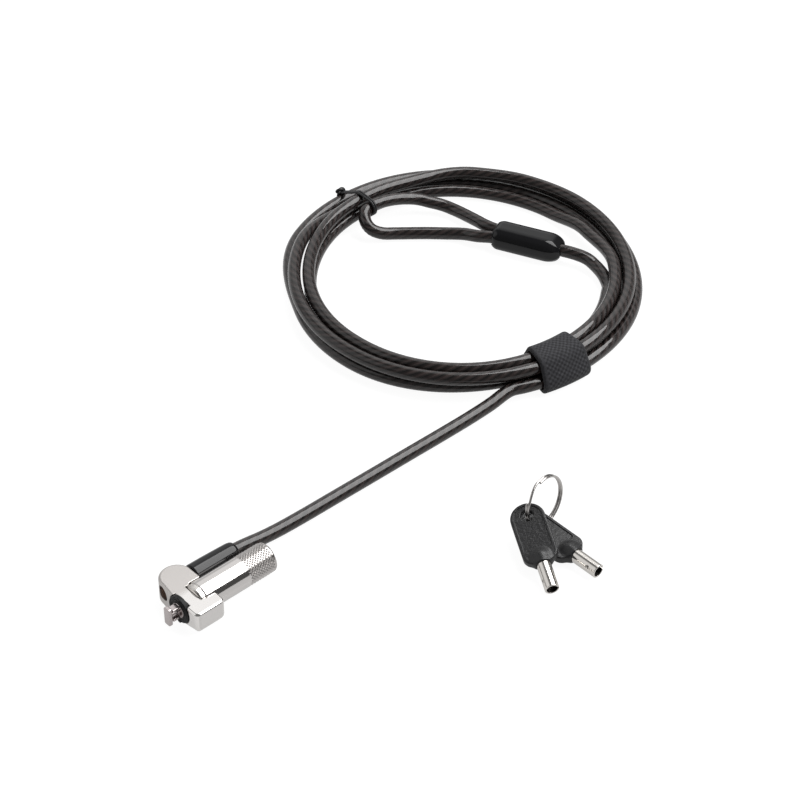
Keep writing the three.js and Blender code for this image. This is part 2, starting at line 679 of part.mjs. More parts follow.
// The turns run straight from step to step, so between two steps they lie a little nearer the middle.
function chord(angle) {
  const half = 180 / COIL_STEPS;
  const offset = THREE.MathUtils.euclideanModulo(angle, 2 * half) - half;
  return Math.cos(rad(half)) / Math.cos(rad(offset));
}

function bundle(angle, places) {
  const base = cableR + lift(angle);
  return places.map(([out, up]) => [(innerRadius(angle) + PITCH * out) * chord(angle), base + LAYER * up]);
}

// Hook-and-loop strap round the five runs where the lead joins the coil
function strapShape() {
  const places = [[0, 0], [2, 0], [1.5, 1.02], [0.5, 1.02]];
  const half = THREE.MathUtils.radToDeg(STRAP_SPAN / 2 / (COIL_INNER_R + PITCH));
  const arcSteps = 4;
  const steps = 6;
  const n = places.length * (arcSteps + 1);
  const positions = [];
  const index = [];
  for (let i = 0; i <= steps; i += 1) {
    const angle = STRAP_PLACE - half + (2 * half * i) / steps;
    const middles = bundle(angle, places);
    const outer = wrapOutline(middles, cableR + WRAP_ROOM + STRAP_T, arcSteps);
    const inner = wrapOutline(middles, cableR + WRAP_ROOM, arcSteps);
    for (const [r, z] of [...outer, ...inner]) positions.push(...coilSpot(angle, r, z).toArray());
  }
  const at = (i, k, inside) => i * 2 * n + (inside ? n : 0) + (k % n);
  const quad = (a, b, c, d) => index.push(a, b, c, c, b, d);
  for (let k = 0; k < n; k += 1) {
    for (let i = 0; i < steps; i += 1) {
      quad(at(i, k, 0), at(i + 1, k, 0), at(i, k + 1, 0), at(i + 1, k + 1, 0));
      quad(at(i, k, 1), at(i, k + 1, 1), at(i + 1, k, 1), at(i + 1, k + 1, 1));
    }
    quad(at(0, k, 0), at(0, k + 1, 0), at(0, k, 1), at(0, k + 1, 1));
    quad(at(steps, k, 0), at(steps, k, 1), at(steps, k + 1, 0), at(steps, k + 1, 1));
  }
  const geometry = new THREE.BufferGeometry();
  geometry.setAttribute('position', new THREE.Float32BufferAttribute(positions, 3));
  geometry.setIndex(index);
  return geometry;
}

piece('cable_strap', strapShape(), WEBBING);

// The eye's upper run lies on the bundle's inner shoulder there
const EYE_AT_TIE = [-1.02, 1.1];

// Thin tie round the bundle and the upper run of the eye, with a small knot on its outer side
function tieShape() {
  const middles = bundle(TIE_PLACE, [[0, 0], [2, 0], [0.08, 1.18], EYE_AT_TIE]);
  const arcSteps = 4;
  const outline = wrapOutline(middles, cableR + WRAP_ROOM + TIE_WIRE_R, arcSteps);
  const points = outline.map(([r, z]) => coilSpot(TIE_PLACE, r, z));
  const overUpperRun = 2 * (arcSteps + 1) + arcSteps / 2;
  const knotOutline = wrapOutline(middles, cableR + WRAP_ROOM + TIE_WIRE_R + TIE_KNOT_OUT, arcSteps);
  const knot = new THREE.SphereGeometry(TIE_KNOT_R, 10, 8).scale(1.3, 1, 0.8)
    .translate(...coilSpot(TIE_PLACE, ...knotOutline[overUpperRun]).toArray());
  return join(solid(tube(points, TIE_WIRE_R, 6, true)), solid(knot));
}

piece('cable_tie', tieShape(), RUBBER);

// Moulded ferrule that closes the eye, over an aluminium crimp

function inFerruleFrame(geometry) {
  return geometry.rotateZ(rad(FERRULE_HEADING)).translate(...FERRULE_END.toArray());
}

function ferruleShape() {
  const round = { bevelEnabled: true, bevelThickness: FERRULE_BEVEL, bevelSize: FERRULE_BEVEL,
    bevelOffset: -FERRULE_BEVEL, bevelSegments: 3, curveSegments: 5 };
  const outer = alongX(roundedRect(FERRULE_W, FERRULE_H, FERRULE_CORNER), FERRULE_BEVEL,
    FERRULE_L - 2 * FERRULE_BEVEL, round);
  const inside = alongX(roundedRect(FERRULE_W - 2 * FERRULE_WALL, FERRULE_H - 2 * FERRULE_WALL,
    FERRULE_CORNER - FERRULE_WALL), FERRULE_SOCKET_L, FERRULE_L - 2 * FERRULE_SOCKET_L);
  const holes = [[-1, FERRULE_SOCKET_L + 1, 0], [FERRULE_L - FERRULE_SOCKET_L - 1, FERRULE_L + 1, EYE_SPREAD],
    [FERRULE_L - FERRULE_SOCKET_L - 1, FERRULE_L + 1, -EYE_SPREAD]]
    .map(([x0, x1, y]) => solid(rod(x0, x1, cableR + CLEAR, 16, y, 0)));
  return cut(solid(inFerruleFrame(outer)), solid(inFerruleFrame(inside)),
    ...holes.map((h) => solid(inFerruleFrame(geometryOf(h)))));
}

piece('loop_ferrule', ferruleShape(), GLOSS_BLACK);

function crimpBlock() {
  const room = FERRULE_WALL + CLEAR;
  return inFerruleFrame(alongX(
    roundedRect(FERRULE_W - 2 * room, FERRULE_H - 2 * room, FERRULE_CORNER - FERRULE_WALL),
    FERRULE_SOCKET_L + CLEAR, FERRULE_L - 2 * FERRULE_SOCKET_L - 2 * CLEAR,
  ));
}

piece('loop_crimp', crimpBlock(), steel(0xa8a9ab, 0.4));

// Keys, drawn with the ring hole at the origin and the tube pointing along +X

function keyHeadShape() {
  const half = KEY_HEAD_W / 2;
  const outline = new THREE.Shape();
  const topX = half - KEY_TOP_L;
  outline.absarc(topX, 0, half, Math.PI / 2, 1.5 * Math.PI);
  outline.lineTo(KEY_HEAD_L - KEY_SHOULDER_L, -half);
  outline.quadraticCurveTo(KEY_HEAD_L, -half, KEY_HEAD_L, -KEY_SHOULDER_W / 2);
  outline.lineTo(KEY_HEAD_L, KEY_SHOULDER_W / 2);
  outline.quadraticCurveTo(KEY_HEAD_L, half, KEY_HEAD_L - KEY_SHOULDER_L, half);
  outline.lineTo(topX, half);
  const bevel = { bevelEnabled: true, bevelThickness: KEY_EDGE, bevelSize: KEY_EDGE, bevelOffset: -KEY_EDGE,
    bevelSegments: 1, curveSegments: 10 };
  const slab = solid(extruded(outline, KEY_HEAD_T - 2 * KEY_EDGE, bevel)
    .translate(0, 0, KEY_EDGE - KEY_HEAD_T / 2));
  const boss = solid(rod(KEY_HEAD_L - KEY_BOSS_L, KEY_HEAD_L + KEY_COLLAR_L, KEY_BOSS_R, 20, 0, 0));
  const panelStart = KEY_HOLE_R + KEY_PANEL_INSET;
  const panelL = KEY_HEAD_L - KEY_BOSS_L - KEY_PANEL_INSET - panelStart;
  const panelPlan = roundedRect(panelL, KEY_HEAD_W - 2 * KEY_PANEL_INSET, KEY_PANEL_CORNER,
    panelStart + panelL / 2, 0);
  const panelTop = solid(extruded(panelPlan, KEY_HEAD_T).translate(0, 0, KEY_HEAD_T / 2 - KEY_PANEL_DEPTH));
  const panelBottom = panelTop.mirror([0, 0, 1]);
  const hole = solid(new THREE.CylinderGeometry(KEY_HOLE_R, KEY_HOLE_R, KEY_HEAD_T + 2, 20)
    .rotateX(Math.PI / 2));
  const socketStart = KEY_HEAD_L - KEY_ROOT_L - CLEAR;
  const socket = solid(rod(socketStart, KEY_HEAD_L + 1, KEY_TUBE_R + KEY_ROOT_FIT, 24, 0, 0));
  return cut(join(slab, boss), hole, panelTop, panelBottom, socket);
}

function keyTubeShape() {
  const [root, tip] = [KEY_HEAD_L - KEY_ROOT_L, KEY_HEAD_L + KEY_TUBE_L];
  const body = solid(turned([
    [root, KEY_BORE_R], [root, KEY_TUBE_R], [tip - KEY_TUBE_EDGE, KEY_TUBE_R],
    [tip, KEY_TUBE_R - KEY_TUBE_EDGE], [tip, KEY_BORE_R],
  ], 24, 0, 0));
  const slot = solid(block(tip - KEY_SLOT_L, tip + 1, 0, KEY_TUBE_R + 1, -KEY_SLOT_W / 2, KEY_SLOT_W / 2));
  const dimple = solid(new THREE.CylinderGeometry(KEY_DIMPLE_R, KEY_DIMPLE_R, KEY_TUBE_R - KEY_BORE_R, 10)
    .rotateX(Math.PI / 2).translate(tip - KEY_DIMPLE_PLACE, 0, KEY_TUBE_R));
  return cut(body, slot, dimple);
}

const ringWay = v(Math.cos(rad(RING_HEADING)), Math.sin(rad(RING_HEADING)), 0);
const ringZ = RING_R * Math.cos(rad(RING_LEAN)) + RING_WIRE_R;
const ringSide = v(-ringWay.y, ringWay.x, 0);
const ringSpot = (offset, z) => v(RING_X, RING_Y, z).addScaledVector(ringWay, offset)
  .addScaledVector(ringSide, (z - ringZ) * Math.tan(rad(RING_LEAN)));

// Each key: name, distance of its hole from the ring's middle, height there, heading, pitch and roll
const KEYS = [
  ['upper', -8.45, 7.9, -118.4, 11.1, 13.7],
  ['lower', -6.1, 3.4, -89, 1.4, 5.6],
];

for (const [name, offset, z, turn, pitch, roll] of KEYS) {
  const key = new THREE.Group();
  key.rotation.set(rad(roll), rad(pitch), rad(turn), 'ZYX');
  key.position.copy(ringSpot(offset, z));
  piece(`${name}_key_head`, keyHeadShape(), KEY_PLASTIC, key);
  piece(`${name}_key_tube`, keyTubeShape(), NICKEL, key);
  group.add(key);
}

// Two flat turns of wire: it steps from the first to the second between its two ends.
function splitRing() {
  const points = [];
  const steps = 44;
  const oneTurn = RING_END_PLACE + 360;
  const end = oneTurn + 360 - RING_STEP_SPAN;
  for (let i = 0; i <= steps; i += 1) {
    const place = RING_END_PLACE + ((end - RING_END_PLACE) * i) / steps;
    const layer = THREE.MathUtils.smoothstep(place, oneTurn - RING_STEP_SPAN, oneTurn) - 0.5;
    points.push(v(RING_R * Math.cos(rad(place)), RING_R * Math.sin(rad(place)), RING_PITCH * layer));
  }
  return tube(points, RING_WIRE_R, 6).rotateX(rad(90 - RING_LEAN)).rotateZ(rad(RING_HEADING))
    .translate(RING_X, RING_Y, ringZ);
}

piece('split_ring', splitRing(), NICKEL);

export default group;
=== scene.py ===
# %% [markdown]
# # A laptop cable lock
#
# This notebook dresses a keyed laptop lock: the lock head, a coiled steel cable with an end loop,
# the strap and tie that hold the coil, and two keys on a ring. The measured solids come first, as a
# frame that never moves. Every piece made here sits on one of its bodies.
# Sizes are written in millimetres, as on a drawing, and turned into metres where a mesh is made.

import math

import bmesh
import bpy
import numpy as np
from mathutils import Matrix, Vector


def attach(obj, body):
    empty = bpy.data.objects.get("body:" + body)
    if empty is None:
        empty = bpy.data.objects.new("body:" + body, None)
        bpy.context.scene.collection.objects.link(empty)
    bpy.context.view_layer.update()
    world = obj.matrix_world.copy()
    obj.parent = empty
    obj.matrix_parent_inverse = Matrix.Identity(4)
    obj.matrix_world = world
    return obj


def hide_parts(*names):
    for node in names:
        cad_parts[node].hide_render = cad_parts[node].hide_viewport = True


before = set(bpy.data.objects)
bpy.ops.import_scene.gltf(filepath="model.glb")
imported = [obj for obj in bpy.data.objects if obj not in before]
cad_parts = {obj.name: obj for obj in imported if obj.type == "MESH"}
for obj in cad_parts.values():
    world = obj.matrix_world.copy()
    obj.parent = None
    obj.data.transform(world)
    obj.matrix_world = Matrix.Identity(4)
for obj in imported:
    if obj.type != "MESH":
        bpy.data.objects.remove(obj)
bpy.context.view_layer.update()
MM = 0.001

# %% [markdown]
# ## Camera
#
# The photograph looks down at the lock at about 40 degrees with a long lens, so parallel lines stay
# nearly parallel. The camera could be aimed by a constraint, but a place and two angles are easier
# to read and can be written down once they fit.

# %% The camera
CAMERA_PLACE = (-294.6, -411.6, 496.1)
CAMERA_ELEVATION = 39.5
CAMERA_HEADING = 42.5
CAMERA_LENS = 106.83
CAMERA_SENSOR = 36.0
CAMERA_NEAR, CAMERA_FAR = 20, 20000


def in_scene(name, data):
    """A new object that holds data, linked to the scene."""
    made = bpy.data.objects.new(name, data)
    bpy.context.scene.collection.objects.link(made)
    return made


camera_data = bpy.data.cameras.new("camera")
camera_data.lens = CAMERA_LENS
camera_data.sensor_width = CAMERA_SENSOR
camera_data.clip_start, camera_data.clip_end = CAMERA_NEAR * MM, CAMERA_FAR * MM
camera = in_scene("camera", camera_data)
camera.location = Vector(CAMERA_PLACE) * MM
camera.rotation_euler = (math.radians(90 - CAMERA_ELEVATION), 0, -math.radians(CAMERA_HEADING))
bpy.context.scene.camera = camera
bpy.context.scene.view_settings.view_transform = "Standard"
print("camera distance in mm:", round(Vector(CAMERA_PLACE).length))

# %% [markdown]
# ## The route of the cable
#
# The real cable is one length of steel rope in a clear dark jacket. It leaves the sleeve, runs along
# the table, is wound four times and ends in the ferrule. The route repeats the rule that the frame's
# solids follow: each turn keeps one pitch from its neighbours, and some turns lie in the groove
# between two turns below. A drawn curve could be traced by hand, but a rule keeps turns from
# touching.

# %% Numbers of the coil
CABLE_D = 4.5
CABLE_R = CABLE_D / 2
TURN_GAP = 0.45
PITCH = CABLE_D + TURN_GAP
LAYER = PITCH * math.sin(math.pi / 3)
COIL_X, COIL_Y = 169.2, 64.3
COIL_INNER_R = 53.0
COIL_OVAL = 1.35
COIL_OVAL_PLACE = 132
COIL_START = -24
COIL_END = 4 * 360 + 38
STRAP_PLACE = -10.5
STRAP_SPAN = 16.5
STRAP_T = 1.35
WRAP_ROOM = 0.5
TIE_PLACE = 178
TIE_WIRE_R = 0.45
LIFT_FLAT, LIFT_REACH = 10, 70

# Where each turn lies: angle, pitches outwards and layers up
TURNS = [
    [(COIL_START, 2, 0), (203, 2, 0), (245, 1.02, 0)],
    [(-5, 1, 0), (181, 1, 0), (214, 1.1, 1.18), (275, 1.1, 1.18), (334, 1.5, 1.02)],
    [(0, 1.5, 1.02), (90, 1.5, 1.02), (112, 1.22, 1.17), (130, 0.95, 1.2), (160, 0.08, 1.18),
     (275, 0.08, 1.18), (334, 0.5, 1.02)],
    [(0, 0.5, 1.02), (52, 0.5, 1.02), (78, 0.03, 0.62), (98, 0, 0)],
    [(0, 0, 0), (90, 0, 0)],
]
WAYPOINTS = [(a + 360 * k, out, up) for k, turn in enumerate(TURNS) for a, out, up in turn]
print("coil from", COIL_START, "to", COIL_END, "degrees, with", len(WAYPOINTS), "places")


# %% The line of the coil
def smooth_step(x, low, high):
    t = min(max((x - low) / (high - low), 0.0), 1.0)
    return t * t * (3 - 2 * t)


def inner_radius(angle):
    return COIL_INNER_R + COIL_OVAL * math.cos(math.radians(2 * (angle - COIL_OVAL_PLACE)))


def coil_spot(angle, radius, height):
    a = math.radians(angle - 90)
    return np.array([COIL_X + radius * math.cos(a), COIL_Y + radius * math.sin(a), height])


def bump(angle, place):
    away = abs((angle - place + 540) % 360 - 180)
    return 1 - smooth_step(away, LIFT_FLAT, LIFT_REACH)


def lift(angle):
    over_strap = STRAP_T + WRAP_ROOM
    over_tie = 2 * TIE_WIRE_R + WRAP_ROOM
    return over_strap * bump(angle, STRAP_PLACE) + over_tie * bump(angle, TIE_PLACE)


def coil_point(angle):
    k = 0
    while k < len(WAYPOINTS) - 2 and WAYPOINTS[k + 1][0] < angle:
        k += 1
    (a0, out0, up0), (a1, out1, up1) = WAYPOINTS[k], WAYPOINTS[k + 1]
    t = smooth_step(angle, a0, a1)
    out, up = out0 + (out1 - out0) * t, up0 + (up1 - up0) * t
    return coil_spot(angle, inner_radius(angle) + PITCH * out, CABLE_R + LAYER * up + lift(angle))


def heading_at(angle):
    step = coil_point(angle + 0.5) - coil_point(angle - 0.5)
    return step / np.linalg.norm(step)


# %% Where the ferrule lies
FERRULE_L = 26.0
FERRULE_W = 11.2
FERRULE_H = 8.8
FERRULE_SOCKET_L = 5.5
FERRULE_HEADING = math.radians(114)
FERRULE_END = np.array([206.6, 50.5, FERRULE_H / 2])
EYE_SPREAD = 2.45
FERRULE_WAY = np.array([math.cos(FERRULE_HEADING), math.sin(FERRULE_HEADING), 0])
FERRULE_SIDE = np.array([math.sin(FERRULE_HEADING), -math.cos(FERRULE_HEADING), 0])
print("ferrule's tail end at", FERRULE_END)


def in_ferrule(along, aside, up=0.0):
    return FERRULE_END + FERRULE_WAY * along + FERRULE_SIDE * aside + np.array([0, 0, up])


# %% A smooth line through points
CURVE_STEPS = 24


def through(points):
    """A centripetal Catmull-Rom curve, which never overshoots between uneven points."""
    p = [np.array(q, float) for q in points]
    p = [2 * p[0] - p[1], *p, 2 * p[-1] - p[-2]]
    line = []
    for a, b, c, d in zip(p, p[1:], p[2:], p[3:]):
        t0, t1, t2 = (math.sqrt(np.linalg.norm(y - x)) for x, y in ((a, b), (b, c), (c, d)))
        m1 = ((b - a) / t0 - (c - a) / (t0 + t1) + (c - b) / t1) * t1
        m2 = ((c - b) / t1 - (d - b) / (t1 + t2) + (d - c) / t2) * t1
        for k in range(CURVE_STEPS):
            s = k / CURVE_STEPS
            line.append((2 * s**3 - 3 * s**2 + 1) * b + (s**3 - 2 * s**2 + s) * m1
                        + (3 * s**2 - 2 * s**3) * c + (s**3 - s**2) * m2)
    return np.array(line + [p[-2]])


def arc_lengths(line):
    return np.concatenate([[0], np.cumsum(np.linalg.norm(np.diff(line, axis=0), axis=1))])


def evenly(line, spacing):
    s = arc_lengths(line)
    n = max(2, round(s[-1] / spacing) + 1)
    return np.stack([np.interp(np.linspace(0, s[-1], n), s, line[:, k]) for k in range(3)], 1)


# %% The route of the main cable and of the end loop
ANCHOR_Y, ANCHOR_Z = 9.05, 4.6
SLEEVE_FRONT, SLEEVE_REAR = 6.6, 23.0
JACKET_START = SLEEVE_FRONT + 1.2
CLEAR = 0.3
COIL_STEP, ROUTE_STEP = 2.0, 1.15

start, end = coil_point(COIL_START), coil_point(COIL_END)
start_way, end_way = heading_at(COIL_START), heading_at(COIL_END)
# Places in millimetres, listed between the fixed ends
LEAD = [
    (JACKET_START, ANCHOR_Y, ANCHOR_Z), (JACKET_START + 8, ANCHOR_Y, ANCHOR_Z),
    (SLEEVE_REAR + 0.5, ANCHOR_Y, ANCHOR_Z), (28, 9.05, 4.05), (33, 9.0, 3.25), (40, 8.9, 2.6),
    (50, 8.8, 2.3), (62, 8.7, 2.25), (78, 8.5, 2.25), (94, 8.35, 2.25), (110, 8.15, 2.27),
    (121, 8.1, 2.35), (130, 8.1, 2.75), start - start_way * (CABLE_D + CLEAR), start - start_way * CLEAR,
]
TAIL = [
    end + end_way * CLEAR, end + end_way * (CABLE_D + CLEAR), (207.9, 31.6, 2.9), (209.7, 36.9, 3.1),
    (209.9, 41.5, 3.9), in_ferrule(-CABLE_D - 0.6, 0, -0.15), in_ferrule(0, 0),
    in_ferrule(FERRULE_SOCKET_L - CLEAR, 0),
]
MOUTH = FERRULE_L - FERRULE_SOCKET_L + CLEAR
EYE = [
    in_ferrule(MOUTH, EYE_SPREAD), in_ferrule(FERRULE_L, EYE_SPREAD), (197.1, 79.9, 4.5),
    (197.4, 84.4, 3.9), (197.6, 89.4, 3.3), (197.2, 95.4, 3.0), (195.4, 100.6, 3.5),
    (192.6, 103.9, 4.4), (189.6, 107.2, 5.4), (185.4, 109.5, 6.5), (180.5, 111.2, 7.4),
    (175.6, 112.1, 8.0), (171.0, 112.3, 8.2), (167.4, 111.2, 7.7), (165.4, 108.6, 6.2),
    (165.5, 105.6, 4.4), (168.0, 102.8, 3.0), (172.0, 100.2, 2.35), (176.1, 96.8, 2.25),
    (180.6, 92.8, 2.25), (185.4, 88.0, 2.3), (189.3, 82.8, 2.9),
    in_ferrule(FERRULE_L + 5, -EYE_SPREAD - 0.6, -0.6), in_ferrule(FERRULE_L, -EYE_SPREAD),
    in_ferrule(MOUTH, -EYE_SPREAD),
]
coil_line = np.array([coil_point(a) for a in np.arange(COIL_START, COIL_END + 1, COIL_STEP)])
main_route = evenly(np.concatenate([through(LEAD), coil_line, through(TAIL)]), ROUTE_STEP)
eye_route = evenly(through(EYE), ROUTE_STEP)

# %% [markdown]
# ## Finishes that several materials share
#
# Real surfaces are never one flat value. Cast metal has a faint grain, moulded plastic a fine
# texture, and both carry small changes in gloss. Two shader node groups make these once. Each
# material places them with its own scale and strength, and keeps its shader to itself.

# %% Node helpers
def new_group(name, inputs, outputs):
    group = bpy.data.node_groups.new(name, "ShaderNodeTree")
    for label, kind, value in inputs:
        socket = group.interface.new_socket(label, in_out="INPUT", socket_type=kind)
        if value is not None:
            socket.default_value = value
    for label, kind in outputs:
        group.interface.new_socket(label, in_out="OUTPUT", socket_type=kind)
    return group, group.nodes.new("NodeGroupInput"), group.nodes.new("NodeGroupOutput")


def node(tree, kind, **values):
    made = tree.nodes.new(kind)
    for key, value in values.items():
        setattr(made, key, value)
    return made


def feed(tree, value, socket):
    """Links an output to the socket, or sets a plain value on it."""
    if hasattr(value, "links"):
        tree.links.new(value, socket)
    else:
        socket.default_value = value


def math_node(tree, operation, a, b=None, clamp=False):
    made = node(tree, "ShaderNodeMath", operation=operation, use_clamp=clamp)
    feed(tree, a, made.inputs[0])
    if b is not None:
        feed(tree, b, made.inputs[1])
    return made.outputs[0]


def noise(tree, place, scale, detail=3.0, roughness=0.55):
    made = node(tree, "ShaderNodeTexNoise")
    for label, value in (("Detail", detail), ("Roughness", roughness), ("Scale", scale), ("Vector", place)):
        feed(tree, value, made.inputs[label])
    return made.outputs["Fac"]


def fade(tree, value, start_at, end_at):
    """Rises softly from 0 to 1 while value goes from start_at to end_at."""
    made = node(tree, "ShaderNodeMapRange", interpolation_type="SMOOTHSTEP")
    for label, given in (("From Min", start_at), ("From Max", end_at), ("Value", value)):
        feed(tree, given, made.inputs[label])
    return made.outputs["Result"]


# %% Grain and gloss marks
BROAD_TONE, MARK_SCALE = 60.0, 220.0


def make_surface_grain():
    tree, given, out = new_group(
        "surface_grain",
        [("Place", "NodeSocketVector", None), ("Scale", "NodeSocketFloat", 900.0),
         ("Depth", "NodeSocketFloat", 0.1)],
        [("Height", "NodeSocketFloat"), ("Tone", "NodeSocketFloat")],
    )
    fine = noise(tree, given.outputs["Place"], given.outputs["Scale"], 4.0)
    broad = noise(tree, given.outputs["Place"], BROAD_TONE, 2.0)
    tree.links.new(math_node(tree, "MULTIPLY", fine, given.outputs["Depth"]), out.inputs["Height"])
    tree.links.new(broad, out.inputs["Tone"])
    return tree


def make_gloss_marks():
    tree, given, out = new_group(
        "gloss_marks",
        [("Place", "NodeSocketVector", None), ("Gloss", "NodeSocketFloat", 0.2),
         ("Change", "NodeSocketFloat", 0.08)],
        [("Roughness", "NodeSocketFloat")],
    )
    marks = noise(tree, given.outputs["Place"], MARK_SCALE, 5.0, 0.65)
    centred = math_node(tree, "SUBTRACT", marks, 0.5)
    change = math_node(tree, "MULTIPLY", centred, given.outputs["Change"])
    total = math_node(tree, "ADD", given.outputs["Gloss"], change, clamp=True)
    tree.links.new(total, out.inputs["Roughness"])
    return tree


SURFACE_GRAIN = make_surface_grain()
GLOSS_MARKS = make_gloss_marks()
print("shared finishes:", SURFACE_GRAIN.name, GLOSS_MARKS.name)


# %% Parts of a material
def new_material(name, constants):
    """A material whose shader has the sockets named in constants set."""
    material = bpy.data.materials.new(name)
    material.use_nodes = True
    shader = material.node_tree.nodes["Principled BSDF"]
    for socket, value in constants.items():
        shader.inputs[socket].default_value = value
    return material, material.node_tree, shader


def shared_finish(tree, group, place, **settings):
    made = node(tree, "ShaderNodeGroup", node_tree=group)
    for label, value in settings.items():
        made.inputs[label].default_value = value
    tree.links.new(place, made.inputs["Place"])
    return made.outputs


def mix_color(tree, shader, first, second, factor):
    """Gives the shader a colour that varies between two."""
    mix = node(tree, "ShaderNodeMix", data_type="RGBA")
    mix.inputs["A"].default_value = (*first, 1)
    mix.inputs["B"].default_value = (*second, 1)
    tree.links.new(factor, mix.inputs["Factor"])
    tree.links.new(mix.outputs["Result"], shader.inputs["Base Color"])


def add_relief(tree, shader, height, depth):
    """Gives the shader a relief. A height of 1 stands for depth, in millimetres."""
    relief = node(tree, "ShaderNodeBump")
    relief.inputs["Strength"].default_value = 1.0
    relief.inputs["Distance"].default_value = depth * MM
    tree.links.new(height, relief.inputs["Height"])
    tree.links.new(relief.outputs["Normal"], shader.inputs["Normal"])


def finish(name, color, tint, gloss, gloss_change, grain_scale, grain_depth, metallic=1.0,
           specular=0.5, relief_depth=0.02):
    """A material of two close colours, with grain in its relief and marks in its gloss."""
    material, tree, shader = new_material(name, {"Metallic": metallic, "Specular IOR Level": specular})
    place = node(tree, "ShaderNodeTexCoord").outputs["Object"]
    grain = shared_finish(tree, SURFACE_GRAIN, place, Scale=grain_scale, Depth=grain_depth)
    marks = shared_finish(tree, GLOSS_MARKS, place, Gloss=gloss, Change=gloss_change)
    mix_color(tree, shader, color, tint, grain["Tone"])
    tree.links.new(marks["Roughness"], shader.inputs["Roughness"])
    add_relief(tree, shader, grain["Height"], relief_depth)
    return material


# %% Metals, plastics and rubber
# Each one: two colours, gloss and its change, grains in a metre and their depth
NICKEL = finish("bright_nickel", (0.80, 0.775, 0.745), (0.72, 0.69, 0.66), 0.16, 0.10, 1500, 0.3)
CHROME = finish("polished_barrel", (0.72, 0.695, 0.68), (0.68, 0.655, 0.64), 0.10, 0.06, 1800, 0.2)
KNURL_METAL = finish("knurled_metal", (0.66, 0.635, 0.62), (0.60, 0.575, 0.56), 0.38, 0.08, 1800, 0.2)
SPRING_STEEL = finish("bare_steel", (0.56, 0.55, 0.54), (0.47, 0.46, 0.45), 0.30, 0.10, 1200, 0.3)
BRASS = finish("dull_brass", (0.42, 0.29, 0.20), (0.33, 0.22, 0.15), 0.42, 0.15, 1100, 0.6)
ALUMINIUM = finish("pressed_aluminium", (0.66, 0.66, 0.67), (0.58, 0.58, 0.59), 0.38, 0.12, 900, 0.6)
COPPER = finish("crimp_copper", (0.30, 0.17, 0.11), (0.20, 0.115, 0.075), 0.34, 0.12, 900, 0.5)
STEEL_TIP = finish("stamped_steel", (0.62, 0.565, 0.56), (0.50, 0.455, 0.45), 0.26, 0.12, 1400, 0.4)
RING_STEEL = finish("ring_wire", (0.60, 0.575, 0.56), (0.50, 0.48, 0.465), 0.20, 0.10, 1500, 0.3)
KEY_STEEL = finish("key_steel", (0.80, 0.77, 0.735), (0.73, 0.70, 0.66), 0.15, 0.08, 1500, 0.25)
# Painted shade for the inside of the key tubes
KEY_BORE_SHADE = finish("painted_bore_shade", (0.03, 0.027, 0.025), (0.05, 0.045, 0.042), 0.5, 0.10, 1500, 0.5)
MOULDING = finish("gloss_moulding", (0.0045, 0.0045, 0.005), (0.008, 0.008, 0.009), 0.09, 0.04, 700, 0.25,
                  metallic=0.0, specular=0.34)
RUBBER = finish("ribbed_rubber", (0.005, 0.005, 0.0053), (0.010, 0.010, 0.0105), 0.46, 0.15, 1600, 0.8,
                metallic=0.0, specular=0.26)
KEY_PLASTIC = finish("grained_plastic", (0.009, 0.009, 0.0095), (0.019, 0.019, 0.020), 0.36, 0.10, 1000, 1.0,
                     metallic=0.0, specular=0.45, relief_depth=0.16)
TIE_CORD = finish("tie_cord", (0.008, 0.008, 0.0085), (0.014, 0.014, 0.015), 0.45, 0.15, 2200, 1.0,
                  metallic=0.0)
print("materials:", len(bpy.data.materials))

# %% [markdown]
# ## The cable: steel strands under a clear dark jacket
#
# Seen close, the jacket is smooth and glossy, and the twisted strands show through it as slanting
# bands. Two looks lie over each other here: the strands below, with their own relief, and the smooth
# coat above. The shader's coat does that. Its light follows the smooth surface, while the base
# below takes the relief of the strands. The bands are painted shade between the strands over their
# own tone, laid on a UV map that winds round the cable with the strands, so they follow every bend.
# The tube itself has very shallow grooves between the strands, which break up the long highlight a little.

# %% A tube round a line
STRAND_COUNT = 6
STRAND_LAY = 23.0


def mesh_object(name, points, faces, material, smooth=True):
    mesh = bpy.data.meshes.new(name)
    mesh.from_pydata([tuple(p) for p in points], [], [tuple(f) for f in faces])
    mesh.materials.append(material)
    mesh.polygons.foreach_set("use_smooth", [smooth] * len(mesh.polygons))
    mesh.update()
    return in_scene(name, mesh)


def ring_points(line, side, rise, angle, reach):
    """A ring of points square to each point of line. Angle and reach may change along it."""
    points = (line[:, None] + side[:, None] * (np.cos(angle) * reach)[..., None]
              + rise[:, None] * (np.sin(angle) * reach)[..., None])
    return points.reshape(-1, 3) * MM


def ring_faces(rings, sides, closed=False):
    """Quads from ring to ring. An open tube gets a cap at each end."""
    faces = []
    for i in range(rings if closed else rings - 1):
        here, ahead = i * sides, (i + 1) % rings * sides
        faces += [(here + k, here + (k + 1) % sides, ahead + (k + 1) % sides, ahead + k)
                  for k in range(sides)]
    if not closed:
        last = (rings - 1) * sides
        faces += [tuple(range(sides))[::-1], tuple(range(last, last + sides))]
    return faces


def unit_rows(rows):
    return rows / np.linalg.norm(rows, axis=1)[:, None]


